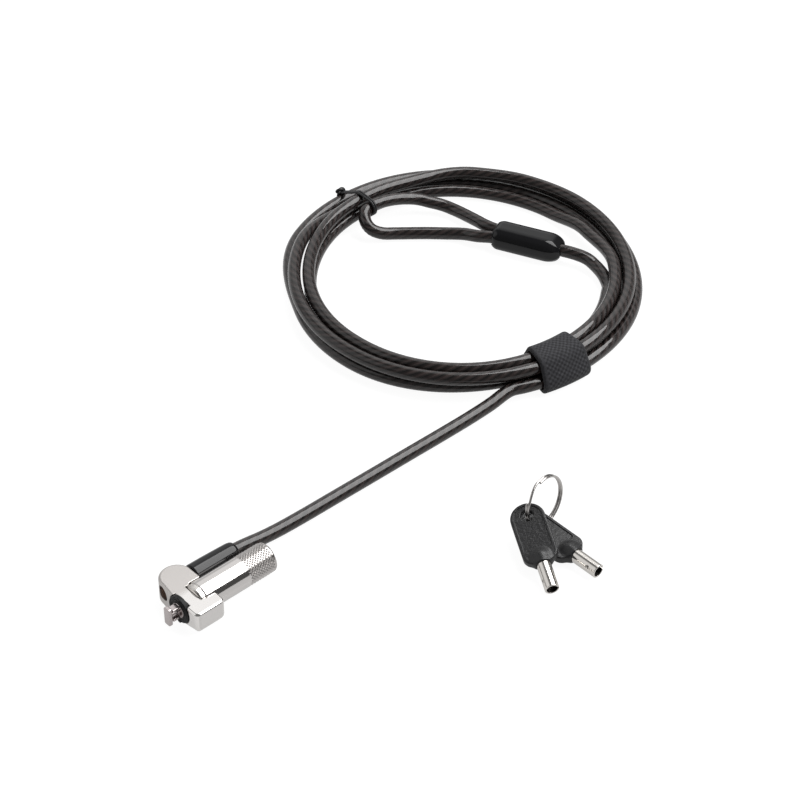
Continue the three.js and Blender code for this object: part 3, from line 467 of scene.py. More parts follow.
def wound_tube(name, route, radius, sides, material, lay, groove):
    """A tube along route. Its long edges wind round it once in every lay, and groove is the depth
    between the strands that wind with them."""
    s = arc_lengths(route)
    ahead = unit_rows(np.gradient(route, axis=0))
    side = unit_rows(np.cross(ahead, [0, 0, 1.0]))
    rise = np.cross(side, ahead)
    around = np.arange(sides) / sides * 2 * math.pi
    angle = around[None, :] + (s / lay * 2 * math.pi)[:, None]
    reach = radius - groove * (1 - np.abs(np.sin(around * STRAND_COUNT / 2)))
    made = mesh_object(name, ring_points(route, side, rise, angle, reach), ring_faces(len(route), sides),
                       material)
    uv = made.data.uv_layers.new(name="winding")
    loops = np.array([loop.vertex_index for loop in made.data.loops])
    quads = (len(route) - 1) * sides * 4
    wraps = np.zeros(len(loops))
    last_side = np.arange(quads) // 4 % sides == sides - 1
    wraps[:quads][last_side & (loops[:quads] % sides == 0)] = 1.0
    u, v = loops % sides / sides + wraps, s[loops // sides] / lay
    uv.data.foreach_set("uv", np.stack([u, v], 1).ravel())
    return made


# %% The jacket's material
CROWN_POWER = 1.2
WIRES_AROUND, WIRES_ALONG = 36.0, 3.0
CLOUD_SCALE = 90.0
WIRE_FLOOR, CLOUD_FLOOR = 0.35, 0.45
# Painted shade between the strands, and the strands' own tone on their crowns
PAINTED_SHADE_BETWEEN_STRANDS, STRAND_CROWN = (0.0008, 0.0006, 0.0006), (0.036, 0.0245, 0.0225)
STRAND_ROUGHNESS, WIRE_ROUGHNESS = 0.36, 0.2
STRAND_RELIEF = 0.35


def make_jacket():
    material, tree, shader = new_material("clear_dark_jacket", {
        "Coat Weight": 1.0, "Coat Roughness": 0.055, "Coat IOR": 1.46, "Specular IOR Level": 0.14})
    place = node(tree, "ShaderNodeTexCoord").outputs["Object"]
    split = node(tree, "ShaderNodeSeparateXYZ")
    tree.links.new(node(tree, "ShaderNodeUVMap", uv_map="winding").outputs["UV"], split.inputs[0])
    around, along = split.outputs["X"], split.outputs["Y"]

    strands = math_node(tree, "MULTIPLY", around, float(STRAND_COUNT))
    centred = math_node(tree, "SUBTRACT", math_node(tree, "FRACT", strands), 0.5)
    across = math_node(tree, "MULTIPLY", math_node(tree, "ABSOLUTE", centred), 2.0)
    crown = math_node(tree, "SUBTRACT", 1.0, math_node(tree, "POWER", across, CROWN_POWER))

    wires = node(tree, "ShaderNodeCombineXYZ")
    for axis, (place_on, count) in enumerate(((around, WIRES_AROUND), (along, WIRES_ALONG))):
        tree.links.new(math_node(tree, "MULTIPLY", place_on, count), wires.inputs[axis])
    wire_tone = noise(tree, wires.outputs[0], 1.0, 2.0)
    cloud = noise(tree, place, CLOUD_SCALE, 2.0)

    # The crowns keep the strands' tone; between the strands the colour falls to painted shade, times random
    # wire and cloud tone
    painted_shade_and_tone = math_node(tree, "MULTIPLY", crown, math_node(tree, "ADD", wire_tone, WIRE_FLOOR))
    painted_shade_and_tone = math_node(tree, "MULTIPLY", painted_shade_and_tone, math_node(tree, "ADD", cloud, CLOUD_FLOOR))
    mix_color(tree, shader, PAINTED_SHADE_BETWEEN_STRANDS, STRAND_CROWN, painted_shade_and_tone)
    rough = math_node(tree, "MULTIPLY", wire_tone, WIRE_ROUGHNESS)
    rough = math_node(tree, "ADD", rough, STRAND_ROUGHNESS)
    tree.links.new(rough, shader.inputs["Roughness"])
    add_relief(tree, shader, crown, STRAND_RELIEF)
    return material


JACKET = make_jacket()

# %% The two cords
CORD_SIDES = 30
GROOVE = 0.013
main_cable, eye_cable = [
    wound_tube(name, route, CABLE_R, CORD_SIDES, JACKET, STRAND_LAY, GROOVE)
    for name, route in (("steel_cable", main_route), ("end_loop", eye_route))]
for cord in (main_cable, eye_cable):
    print(cord.name, len(cord.data.polygons), "faces")

# %% [markdown]
# ## The sleeve behind the boss
#
# A glossy black sleeve keeps the cable from kinking where it leaves the metal. It is a straight
# tube with a rounded nose, so it is turned: a profile of radius against length, spun once round.
# A helper for turned pieces serves the barrel and the key tubes too.

# %% Turning
HOLD = 0.12


def held(profile, closed):
    """Adds points just inside both ends of long steps, so that smooth shading stays straight."""
    made = []
    ends = profile[1:] + profile[:1] if closed else profile[1:] + [profile[-1]]
    for (x0, r0), (x1, r1) in zip(profile, ends):
        made.append((x0, r0))
        length = math.hypot(x1 - x0, r1 - r0)
        if length > 5 * HOLD:
            for t in (HOLD / length, 1 - HOLD / length):
                made.append((x0 + (x1 - x0) * t, r0 + (r1 - r0) * t))
    return made


def turned(name, profile, material, y, z, segments, smooth_angle=35, closed=True):
    """Spins (x, radius) pairs round a line parallel to X. A radius of 0 becomes a pole."""
    points, rows = [], []
    for x, r in held(profile, closed):
        if r < 1e-6:
            rows.append([len(points)] * segments)
            points.append((x * MM, y * MM, z * MM))
            continue
        rows.append(list(range(len(points), len(points) + segments)))
        for k in range(segments):
            a = 2 * math.pi * k / segments
            points.append((x * MM, (r * math.cos(a) + y) * MM, (r * math.sin(a) + z) * MM))
    faces = []
    for a, b in zip(rows, rows[1:] + rows[:1] if closed else rows[1:]):
        for k in range(segments):
            m = (k + 1) % segments
            ring = [a[k], a[m], b[m], b[k]]
            corners = [v for i, v in enumerate(ring) if v != ring[i - 1]]
            if len(set(corners)) > 2:
                faces.append(corners)
    made = mesh_object(name, points, faces, material)
    outwards(made)
    crease(made, smooth_angle)
    return made


def outwards(made):
    mesh = bmesh.new()
    mesh.from_mesh(made.data)
    bmesh.ops.remove_doubles(mesh, verts=mesh.verts, dist=1e-7)
    bmesh.ops.recalc_face_normals(mesh, faces=mesh.faces)
    mesh.to_mesh(made.data)
    mesh.free()


def crease(made, degrees):
    """Smooth shading everywhere, but edges sharper than this stay crisp."""
    made.data.polygons.foreach_set("use_smooth", [True] * len(made.data.polygons))
    made.data.set_sharp_from_angle(angle=math.radians(degrees))


def quarter(x, r, deep, high, points, first):
    """Quarter of an ellipse in a profile, rising from (x, r) over deep along X and high in radius."""
    angles = np.linspace(first, math.pi / 2, points)
    return [(x + deep * (1 - math.cos(a)), r + high * math.sin(a)) for a in angles]


# %% The strain sleeve
SLEEVE_R, SLEEVE_REAR_R, SLEEVE_BORE_R = 3.6, 3.3, CABLE_R + 0.12
NOSE_L, NOSE_RIM = 2.6, 0.3
nose_room = SLEEVE_REAR_R - SLEEVE_BORE_R - NOSE_RIM
nose = [(SLEEVE_REAR - NOSE_L + NOSE_L * math.sin(a), SLEEVE_BORE_R + NOSE_RIM + nose_room * math.cos(a))
        for a in np.linspace(0, math.pi / 2, 9)]
sleeve_profile = [(SLEEVE_FRONT, SLEEVE_BORE_R), (SLEEVE_FRONT, SLEEVE_R - 0.35),
                  (SLEEVE_FRONT + 0.12, SLEEVE_R - 0.1), (SLEEVE_FRONT + 0.4, SLEEVE_R),
                  (SLEEVE_FRONT + 5, SLEEVE_R - 0.04), (SLEEVE_REAR - 6, SLEEVE_REAR_R + 0.12),
                  *nose, (SLEEVE_REAR, SLEEVE_BORE_R)]
sleeve = turned("kink_sleeve", sleeve_profile, MOULDING, ANCHOR_Y, ANCHOR_Z, segments=72)
print("sleeve:", len(sleeve.data.polygons), "faces")

# %% [markdown]
# ## Cast and moulded shapes
#
# Castings and mouldings have rounded edges everywhere, and each edge has its own radius. Bevels on
# the results of booleans break easily, so these shapes are written as distance fields: a function
# says how far a point lies from the surface, negative inside. Two fields are joined or cut with a
# radius between them, which is just how a fillet works. The surface is then drawn on a fine grid,
# and its points are moved onto the field, which gives true normals too.

# %% Fields and fillets
def meet(a, b, radius):
    """Where both fields are inside, with the edge between them rounded."""
    u, w = np.maximum(a + radius, 0), np.maximum(b + radius, 0)
    return np.minimum(np.maximum(a, b), -radius) + np.hypot(u, w)


def merge(a, b, radius):
    """Both fields together, with the inner corner between them filled."""
    return -meet(-a, -b, radius)


def take(a, b, radius):
    """The first field without the second, with the rim between them rounded."""
    return meet(a, -b, radius)


def along_x(x, low, high):
    return np.abs(x - (low + high) / 2) - (high - low) / 2


def box_2d(u, w, half_u, half_w, radius):
    a, b = np.abs(u) - half_u + radius, np.abs(w) - half_w + radius
    return np.hypot(np.maximum(a, 0), np.maximum(b, 0)) + np.minimum(np.maximum(a, b), 0) - radius


SLOPE_STEP = 0.01


def slopes(field, points):
    made = np.empty_like(points)
    for k in range(3):
        shift = np.zeros(3)
        shift[k] = SLOPE_STEP
        made[:, k] = (field(points + shift) - field(points - shift)) / (2 * SLOPE_STEP)
    return made


GRID_MARGIN = 1.37
MOVES, LONGEST_MOVE, LEAST_SLOPE = 6, 0.8, 0.2


def field_mesh(name, field, low, high, cell, material, place=None):
    """The surface of a field as a mesh of quads. place is a matrix in millimetres."""
    axes = [np.arange(a - cell * GRID_MARGIN, b + cell * 2, cell) for a, b in zip(low, high)]
    grid = np.stack(np.meshgrid(*axes, indexing="ij"), -1)
    shape = grid.shape[:3]
    inside = (field(grid.reshape(-1, 3)) < 0).reshape(shape)
    corners = sum(inside[i:shape[0] - 1 + i, j:shape[1] - 1 + j, k:shape[2] - 1 + k].astype(int)
                  for i in (0, 1) for j in (0, 1) for k in (0, 1))
    mixed = (corners > 0) & (corners < 8)
    number = np.full(mixed.shape, -1)
    number[mixed] = np.arange(mixed.sum())
    points = grid[:-1, :-1, :-1][mixed] + cell / 2
    for _ in range(MOVES):
        slope = slopes(field, points)
        steep = np.maximum((slope ** 2).sum(1), LEAST_SLOPE)
        move = slope * (field(points) / steep)[:, None]
        length = np.maximum(np.linalg.norm(move, axis=1), 1e-9)
        points -= move * np.minimum(1, cell * LONGEST_MOVE / length)[:, None]
    quads = []
    for axis in range(3):
        b, c = [k for k in range(3) if k != axis]
        ahead = np.take(inside, range(1, shape[axis]), axis)
        here = np.take(inside, range(shape[axis] - 1), axis)
        for going_out in (True, False):
            spots = np.argwhere((here & ~ahead) if going_out else (~here & ahead))
            spots = spots[(spots[:, b] > 0) & (spots[:, c] > 0)]
            ring = []
            for db, dc in ((1, 1), (0, 1), (0, 0), (1, 0)):
                at = spots.copy()
                at[:, b] -= db
                at[:, c] -= dc
                ring.append(number[at[:, 0], at[:, 1], at[:, 2]])
            ring = np.stack(ring, 1)
            flip = going_out == (axis == 1)
            quads.append(ring[:, ::-1] if flip else ring)
    normals = slopes(field, points)
    normals /= np.linalg.norm(normals, axis=1)[:, None]
    if place is not None:
        turn = np.array(place.to_3x3())
        points = points @ turn.T + np.array(place.translation)
        normals = normals @ turn.T
    made = mesh_object(name, points * MM, np.concatenate(quads).tolist(), material)
    made.data.normals_split_custom_set_from_vertices(normals.tolist())
    print(f"{name}: {len(made.data.polygons)} faces")
    return made


# %% [markdown]
# ## The ferrule of the end loop
#
# Both runs of the loop and the end of the cable meet in a pressed crimp, and a glossy moulding
# covers it. Its section is a rectangle with wide soft chamfers, and its two ends are rounded.

# %% The ferrule
FERRULE_CORNER, FERRULE_CHAMFER, CHAMFER_TILT, CHAMFER_ROUND = 1.4, 5.45, 1.05, 1.3
TAIL_TAPER, TAIL_ROUND, LOOP_END_ROUND = 0.62, 3.7, 3.0
FERRULE_BORE_R = CABLE_R + 0.1
BORE_RIM = 0.35


def ferrule_field(p):
    along, aside, up = p.T
    section = box_2d(aside, up, FERRULE_W / 2, FERRULE_H / 2, FERRULE_CORNER)
    slope = (np.abs(aside) + np.abs(up) * CHAMFER_TILT) / math.hypot(1, CHAMFER_TILT)
    section = meet(section, slope - FERRULE_CHAMFER, CHAMFER_ROUND)
    body = meet(section, -along * TAIL_TAPER, TAIL_ROUND)
    body = meet(body, along - FERRULE_L, LOOP_END_ROUND)
    bore = np.maximum(np.hypot(aside, up) - FERRULE_BORE_R, along - FERRULE_SOCKET_L)
    body = take(body, bore, BORE_RIM)
    for side in (-1, 1):
        mouth = np.hypot(aside - side * EYE_SPREAD, up) - FERRULE_BORE_R
        body = take(body, np.maximum(mouth, FERRULE_L - FERRULE_SOCKET_L - along), BORE_RIM)
    return body


ferrule_place = Matrix.Translation(FERRULE_END.tolist()) @ Matrix.Rotation(FERRULE_HEADING, 4, "Z")
ferrule = field_mesh("loop_ferrule_moulding", ferrule_field, (0, -FERRULE_W / 2, -FERRULE_H / 2),
                     (FERRULE_L, FERRULE_W / 2, FERRULE_H / 2), cell=0.24, material=MOULDING,
                     place=ferrule_place)

# %% [markdown]
# ## The strap
#
# A band of hook-and-loop tape holds the runs of the coil. It follows the outline of the bundle, so
# the same rule that places the turns gives its shape: a line at a fixed distance round the middles
# of the outer runs. The tape is drawn as one closed band without its free end. Modelling every loop
# of its knit would take far too many faces, so the knit is a pattern in the material, on a map that
# runs round and across the band, with painted shade in its hollows. It stops short of both edges,
# where real tape has a plain selvage.

# %% Outlines round the turns
def wrap_outline(middles, offset, arc_steps):
    points = []
    n = len(middles)
    for i, m in enumerate(middles):
        before, after = middles[i - 1], middles[(i + 1) % n]
        a0 = math.atan2(m[1] - before[1], m[0] - before[0]) - math.pi / 2
        a1 = math.atan2(after[1] - m[1], after[0] - m[0]) - math.pi / 2
        while a1 < a0:
            a1 += 2 * math.pi
        points += [(m[0] + offset * math.cos(a), m[1] + offset * math.sin(a))
                   for a in np.linspace(a0, a1, arc_steps + 1)]
    return points


def bundle(angle, places):
    base = CABLE_R + lift(angle)
    return [(inner_radius(angle) + PITCH * out, base + LAYER * up) for out, up in places]


def even_loop(points, n):
    line = np.array(points + points[:1], float)
    s = arc_lengths(line)
    at = np.linspace(0, s[-1], n, endpoint=False)
    return np.stack([np.interp(at, s, line[:, k]) for k in range(2)], 1)


# %% The band
STRAP_HALF = math.degrees(STRAP_SPAN / 2 / (COIL_INNER_R + PITCH))
STRAP_AROUND, STRAP_ACROSS = 200, 44
STRAP_SLOTS = [(0, 0), (2, 0), (1.5, 1.02), (0.5, 1.02)]
THIN_EDGE, THINNED = 0.07, 0.55
WRAP_ARC_STEPS = 12


def strap_band():
    """Points and faces of the band: an inner and an outer outline at each place across it."""
    outlines = []
    for across in np.linspace(-1, 1, STRAP_ACROSS + 1):
        angle = STRAP_PLACE + STRAP_HALF * across
        thinning = THINNED * max(0.0, (abs(across) - 1 + THIN_EDGE) / THIN_EDGE) ** 2
        for offset in (0.0, STRAP_T * (1 - thinning)):
            line = wrap_outline(bundle(angle, STRAP_SLOTS), CABLE_R + WRAP_ROOM + offset, WRAP_ARC_STEPS)
            outlines.append([coil_spot(angle, r, z) for r, z in even_loop(line, STRAP_AROUND)])

    def corner(i, outer, k):
        return (i * 2 + outer) * STRAP_AROUND + k % STRAP_AROUND

    faces = []
    for k in range(STRAP_AROUND):
        for i in range(STRAP_ACROSS):
            faces.append((corner(i, 1, k), corner(i + 1, 1, k), corner(i + 1, 1, k + 1), corner(i, 1, k + 1)))
            faces.append((corner(i, 0, k), corner(i, 0, k + 1), corner(i + 1, 0, k + 1), corner(i + 1, 0, k)))
        end = STRAP_ACROSS
        faces.append((corner(0, 0, k), corner(0, 1, k), corner(0, 1, k + 1), corner(0, 0, k + 1)))
        faces.append((corner(end, 0, k), corner(end, 0, k + 1), corner(end, 1, k + 1), corner(end, 1, k)))
    return np.array(outlines).reshape(-1, 3) * MM, faces


def knit_map(made):
    """A UV map that runs once round the band and once across it."""
    spots = np.array([loop.vertex_index for loop in made.data.loops])
    u = (spots % STRAP_AROUND / STRAP_AROUND).reshape(-1, 4)
    u[(np.ptp(u, axis=1) > 0.5)[:, None] & (u < 0.5)] += 1
    v = spots // (2 * STRAP_AROUND) / STRAP_ACROSS
    made.data.uv_layers.new(name="knit").data.foreach_set("uv", np.stack([u.ravel(), v], 1).ravel())


# %% The tape's material
STITCHES_AROUND, STITCHES_ACROSS = 28, 10
SELVAGE = 0.07
STITCH_DEPTH, STITCH_LEVEL = 0.3, 0.4
FUZZ_FLOOR, FUZZ_HEIGHT = 0.1, 0.5
# Painted shade for the knit's hollows, and the tone of the loop tops
TAPE_HOLLOW_SHADE, TAPE_LIGHT = (0.003, 0.003, 0.004), (0.105, 0.105, 0.115)
TAPE_ROUGHNESS, TAPE_ROUGHNESS_CHANGE = 0.7, 0.2
TAPE_RELIEF = 0.2


def make_tape():
    material, tree, shader = new_material("strap_tape", {
        "Sheen Weight": 0.12, "Sheen Roughness": 0.5, "Specular IOR Level": 0.2})
    place = node(tree, "ShaderNodeTexCoord").outputs["Object"]
    grain = shared_finish(tree, SURFACE_GRAIN, place, Scale=1500.0, Depth=1.0)
    knit = node(tree, "ShaderNodeSeparateXYZ")
    tree.links.new(node(tree, "ShaderNodeUVMap", uv_map="knit").outputs["UV"], knit.inputs[0])
    waves = [math_node(tree, "COSINE", math_node(tree, "MULTIPLY", knit.outputs[axis], 2 * math.pi * count))
             for axis, count in (("X", STITCHES_AROUND), ("Y", STITCHES_ACROSS))]
    from_middle = math_node(tree, "ABSOLUTE", math_node(tree, "SUBTRACT", knit.outputs["Y"], 0.5))
    inner = math_node(tree, "LESS_THAN", from_middle, 0.5 - SELVAGE)
    depth = math_node(tree, "MULTIPLY", math_node(tree, "MULTIPLY", *waves), inner)
    stitch = math_node(tree, "ADD", math_node(tree, "MULTIPLY", depth, STITCH_DEPTH), STITCH_LEVEL)
    loops = math_node(tree, "MULTIPLY", stitch, math_node(tree, "ADD", grain["Height"], FUZZ_FLOOR))
    fuzz = math_node(tree, "MULTIPLY", grain["Height"], FUZZ_HEIGHT)
    height = math_node(tree, "ADD", loops, fuzz)
    # The colour follows the stitch height: painted shade in the hollows, with random fuzz tone on the loops
    mix_color(tree, shader, TAPE_HOLLOW_SHADE, TAPE_LIGHT, loops)
    rough = math_node(tree, "MULTIPLY", grain["Tone"], TAPE_ROUGHNESS_CHANGE)
    rough = math_node(tree, "ADD", rough, TAPE_ROUGHNESS)
    tree.links.new(rough, shader.inputs["Roughness"])
    add_relief(tree, shader, height, TAPE_RELIEF)
    return material


strap = mesh_object("hook_and_loop_strap", *strap_band(), make_tape())
knit_map(strap)
outwards(strap)
crease(strap, degrees=50)
print("strap:", len(strap.data.polygons), "faces")

# %% [markdown]
# ## The tie
#
# A thin coated cord goes round the far side of the coil twice and ends in a small knot. Each round
# is a closed tube on the same kind of outline as the strap's. The knot is one more tube, on a small
# line that loops through itself, because a knot this small only has to look wound.

# %% The tie and its knot
EYE_AT_TIE = (-1.02, 1.1)
TIE_SLOTS = [(0, 0), (2, 0), (0.08, 1.18), EYE_AT_TIE]
TIE_KNOT = 21
TIE_ROOM = 0.12
TIE_APART = 0.5
TIE_ARC_STEPS, TIE_STEPS, KNOT_STEPS = 10, 120, 90
KNOT_R, KNOT_SWELL, KNOT_OUT, KNOT_DEEP = 1.05, 0.42, 0.6, 0.5
KNOT_WIDE, KNOT_TALL, KNOT_WIRE = 1.15, 0.8, 1.15


def ring_tube(name, line, radius, material, sides):
    """A closed tube along a closed line of points in millimetres."""
    line = np.array(line)
    ahead = unit_rows(np.roll(line, -1, 0) - np.roll(line, 1, 0))
    centre = line.mean(0)
    normal = np.cross(line[0] - centre, line[len(line) // 4] - centre)
    side = unit_rows(np.cross(ahead, normal / np.linalg.norm(normal)))
    angle = np.arange(sides) / sides * 2 * math.pi
    points = ring_points(line, side, np.cross(side, ahead), angle[None], radius)
    made = mesh_object(name, points, ring_faces(len(line), sides, closed=True), material)
    outwards(made)
    return made


def tie_spot(r, z, along=0.0):
    return coil_spot(TIE_PLACE + math.degrees(along / (COIL_INNER_R + PITCH)), r, z)


def joined(name, pieces, material):
    """One mesh from several, so that they ride and replace together."""
    mesh = bmesh.new()
    for piece in pieces:
        mesh.from_mesh(piece.data)
        bpy.data.objects.remove(piece)
    made = in_scene(name, bpy.data.meshes.new(name))
    mesh.to_mesh(made.data)
    mesh.free()
    made.data.materials.append(material)
    return made


def knot_points(middle, out):
    flat = np.cross(out, [0, 0, 1.0])
    flat /= np.linalg.norm(flat)
    up = np.cross(flat, out)
    line = []
    for t in np.linspace(0, 2 * math.pi, KNOT_STEPS, endpoint=False):
        reach = KNOT_R + KNOT_SWELL * math.cos(3 * t)
        line.append(middle + out * (KNOT_OUT + KNOT_DEEP * math.sin(3 * t))
                    + flat * reach * KNOT_WIDE * math.cos(2 * t) + up * reach * KNOT_TALL * math.sin(2 * t))
    return line


tie_outline = wrap_outline(bundle(TIE_PLACE, TIE_SLOTS), CABLE_R + TIE_ROOM + TIE_WIRE_R,
                           TIE_ARC_STEPS)
tie_loop = even_loop(tie_outline, TIE_STEPS)
strands = []
for side in (-1, 1):
    strand_line = [tie_spot(r, z, side * TIE_APART) for r, z in tie_loop]
    strands.append(ring_tube("strand", strand_line, TIE_WIRE_R, TIE_CORD, sides=12))
knot_middle = tie_spot(*tie_outline[TIE_KNOT])
knot_way = knot_middle - tie_spot(*np.mean(tie_outline, 0))
knot_line = knot_points(knot_middle, knot_way / np.linalg.norm(knot_way))
strands.append(ring_tube("knot", knot_line, TIE_WIRE_R * KNOT_WIRE, TIE_CORD, sides=10))
tie_ring = joined("tie_loop", strands, TIE_CORD)
print("tie:", len(tie_ring.data.polygons), "faces")

# %% [markdown]
# ## The lock head
#
# The swivel frame is one zinc casting: a round boss that holds the cable, a bridge round the lock's
# core and a square lug. Its lug is polished bright and the round face is satin. The casting could
# be copied from the frame's solid and bevelled, but the field gives each edge its own radius.

# %% Sizes of the lock head
AXIS_Z = 5.1
BARREL_R = 5.0
BARREL_FRONT, BARREL_REAR = 1.9, 28.5
FRAME_HALF_L, FRAME_TOP, FRAME_NEAR_Y = 5.4, 8.3, -8.6
LUG_FAR_Y, LUG_CORNER = 2.0, 1.6
TOP_EDGE, LOW_EDGE, LUG_LOW_EDGE, LOW_EDGE_REACH = 0.85, 0.5, 2.6, 9.0
BOSS_X, BOSS_R = 0.9, 5.4
BRIDGE_REAR, NECK_REAR = -0.1, 1.6
CORE_NOSE_R, COLLAR_R = 2.45, 4.78
BUMPER_FRONT, BUMPER_REAR, BUMPER_R = -5.8, -4.1, 4.5
CRIMP_R, CRIMP_FRONT, CRIMP_REAR = 2.25, -2.2, 2.1
CABLE_CORE_R = 1.6


def from_axis(y, z):
    return np.hypot(y, z - AXIS_Z)


def frame_field(p):
    x, y, z = p.T
    disc = np.hypot(x - BOSS_X, y - ANCHOR_Y) - BOSS_R
    slant = (-(x + BOSS_R - BOSS_X) * BOSS_R - (ANCHOR_Y - y) * BOSS_X) / math.hypot(BOSS_R, BOSS_X)
    shoulder = np.maximum.reduce([slant, -x - FRAME_HALF_L, x - BOSS_X - BOSS_R, y - ANCHOR_Y, -y])
    lug_middle, lug_half = (FRAME_NEAR_Y + LUG_FAR_Y) / 2, (LUG_FAR_Y - FRAME_NEAR_Y) / 2
    lug = box_2d(x, y - lug_middle, FRAME_HALF_L, lug_half, LUG_CORNER)
    body = meet(np.minimum.reduce([disc, shoulder, lug]), z - FRAME_TOP, TOP_EDGE)
    body = meet(body, -z, LOW_EDGE + LUG_LOW_EDGE * np.clip((LUG_FAR_Y - y) / LOW_EDGE_REACH, 0, 1))
    out, from_anchor = from_axis(y, z), np.hypot(y - ANCHOR_Y, z - ANCHOR_Z)
    # Each room in the casting with the radius of its rim
    rooms = [
        (np.maximum(out - BARREL_R - 0.22, NECK_REAR - x), 0.15),
        (np.maximum(out - COLLAR_R - 0.1, BRIDGE_REAR - x), 0.06),
        (out - CORE_NOSE_R - 0.15, 0.15),
        (np.maximum(out - BUMPER_R - 0.2, x - BUMPER_REAR - 0.2), 0.22),
        (np.maximum(from_anchor - CRIMP_R - 0.2, x - CRIMP_REAR - CLEAR), 0.3),
        (from_anchor - CABLE_CORE_R - CLEAR, 0.15),
    ]
    for room, rim in rooms:
        body = take(body, room, rim)
    return body


# %% [markdown]
# The round face is satin and a little darker, and the lug is polished. The lug's near side mirrors
# a darker room in the photograph than it does here, so painted shade darkens it. Masks could be
# painted, but each zone begins and ends at a place across the casting, so two soft steps along Y are
# enough. The first adds roughness and lowers the tone, the second only paints the shade on the lug's
# near side. Both follow the casting wherever it turns.

# %% The casting's material
SATIN_START_Y, SATIN_END_Y = 0.5, 3.4
SIDE_START_Y, SIDE_END_Y = FRAME_NEAR_Y + 0.05, FRAME_NEAR_Y + 0.35
SATIN_ROUGHNESS = 0.24
SATIN_SHADE, PAINTED_SIDE_SHADE = (0.66, 0.648, 0.64, 1), (0.80, 0.80, 0.80, 1)


def make_casting():
    material = finish("satin_casting", (0.95, 0.925, 0.905), (0.89, 0.865, 0.845), 0.11, 0.06, 1500, 0.25)
    tree = material.node_tree
    shader = tree.nodes["Principled BSDF"]
    split = node(tree, "ShaderNodeSeparateXYZ")
    tree.links.new(node(tree, "ShaderNodeTexCoord").outputs["Object"], split.inputs[0])
    satin = fade(tree, split.outputs["Y"], SATIN_START_Y * MM, SATIN_END_Y * MM)
    # Painted shade on the lug's near side
    off_side = fade(tree, split.outputs["Y"], SIDE_START_Y * MM, SIDE_END_Y * MM)
    side = math_node(tree, "SUBTRACT", 1.0, off_side)
    added = math_node(tree, "MULTIPLY", satin, SATIN_ROUGHNESS)
    polished = shader.inputs["Roughness"].links[0].from_socket
    tree.links.new(math_node(tree, "ADD", polished, added), shader.inputs["Roughness"])
    # The satin face's own darker tone, then the painted shade on the near side
    for mask, shade in ((satin, SATIN_SHADE), (side, PAINTED_SIDE_SHADE)):
        bright = shader.inputs["Base Color"].links[0].from_socket
        dim = node(tree, "ShaderNodeMix", data_type="RGBA", blend_type="MULTIPLY")
        dim.inputs["B"].default_value = shade
        tree.links.new(mask, dim.inputs["Factor"])
        tree.links.new(bright, dim.inputs["A"])
        tree.links.new(dim.outputs["Result"], shader.inputs["Base Color"])
    return material


casting = field_mesh("cast_swivel_frame", frame_field, (-5.5, -8.7, -0.1), (6.4, 14.6, 8.4),
                     cell=0.17, material=make_casting())

# %% [markdown]
# A crimp holds the steel core of the cable and turns in the boss. Its domed end shows in the hole at
# the boss's front. It is turned, like the sleeve, and keeps the dull copper tone of a pressed crimp.

# %% The crimp in the boss
DOME_L, DOME_START = 0.8, 0.35
dome = quarter(CRIMP_FRONT, CRIMP_R * DOME_START, DOME_L, CRIMP_R * (1 - DOME_START), 9, 0.15)
crimp_profile = [(CRIMP_FRONT, 0), *dome, (CRIMP_REAR, CRIMP_R), (CRIMP_REAR, CABLE_CORE_R),
                 (JACKET_START - 0.1, CABLE_CORE_R), (JACKET_START - 0.1, 0)]
crimp = turned("cable_end_crimp", crimp_profile, COPPER, ANCHOR_Y, ANCHOR_Z, segments=64, closed=False)
print("crimp:", len(crimp.data.polygons), "faces")

# %% [markdown]
# ## The barrel
#
# A turned and polished sleeve. Its rear third is knurled: two sets of crossing grooves leave rows of
# small pyramids. One pyramid is repeated by Geometry Nodes on a grid that is wrapped round the
# barrel, every second row half a step on. Bump mapping would be lighter, but the knurl cuts the
# outline and catches light on its flanks.

# %% The turned barrel
KNURL_START, KNURL_END = 18.2, 27.8
KNURL_ROOT_R = 4.72
BARREL_BORE_R = 3.7
LIP_FRONT = BARREL_REAR - 1.6
KEYWAY_R = 2.75
barrel_profile = [
    (BARREL_FRONT, BARREL_BORE_R), (BARREL_FRONT, BARREL_R - 0.3), (BARREL_FRONT + 0.1, BARREL_R - 0.1),
    (BARREL_FRONT + 0.3, BARREL_R), (KNURL_START - 0.25, BARREL_R), (KNURL_START - 0.05, BARREL_R - 0.08),
    (KNURL_START, KNURL_ROOT_R), (KNURL_END, KNURL_ROOT_R), (KNURL_END + 0.05, BARREL_R - 0.1),
    (BARREL_REAR - 0.5, BARREL_R - 0.12), (BARREL_REAR - 0.18, BARREL_R - 0.34),
    (BARREL_REAR, BARREL_R - 0.7), (BARREL_REAR, KEYWAY_R + 0.35), (BARREL_REAR - 0.12, KEYWAY_R + 0.1),
    (BARREL_REAR - 0.35, KEYWAY_R), (LIP_FRONT, KEYWAY_R), (LIP_FRONT, BARREL_BORE_R),
]
barrel = turned("turned_barrel", barrel_profile, CHROME, 0, AXIS_Z, segments=128, smooth_angle=40)
print("barrel:", len(barrel.data.polygons), "faces")


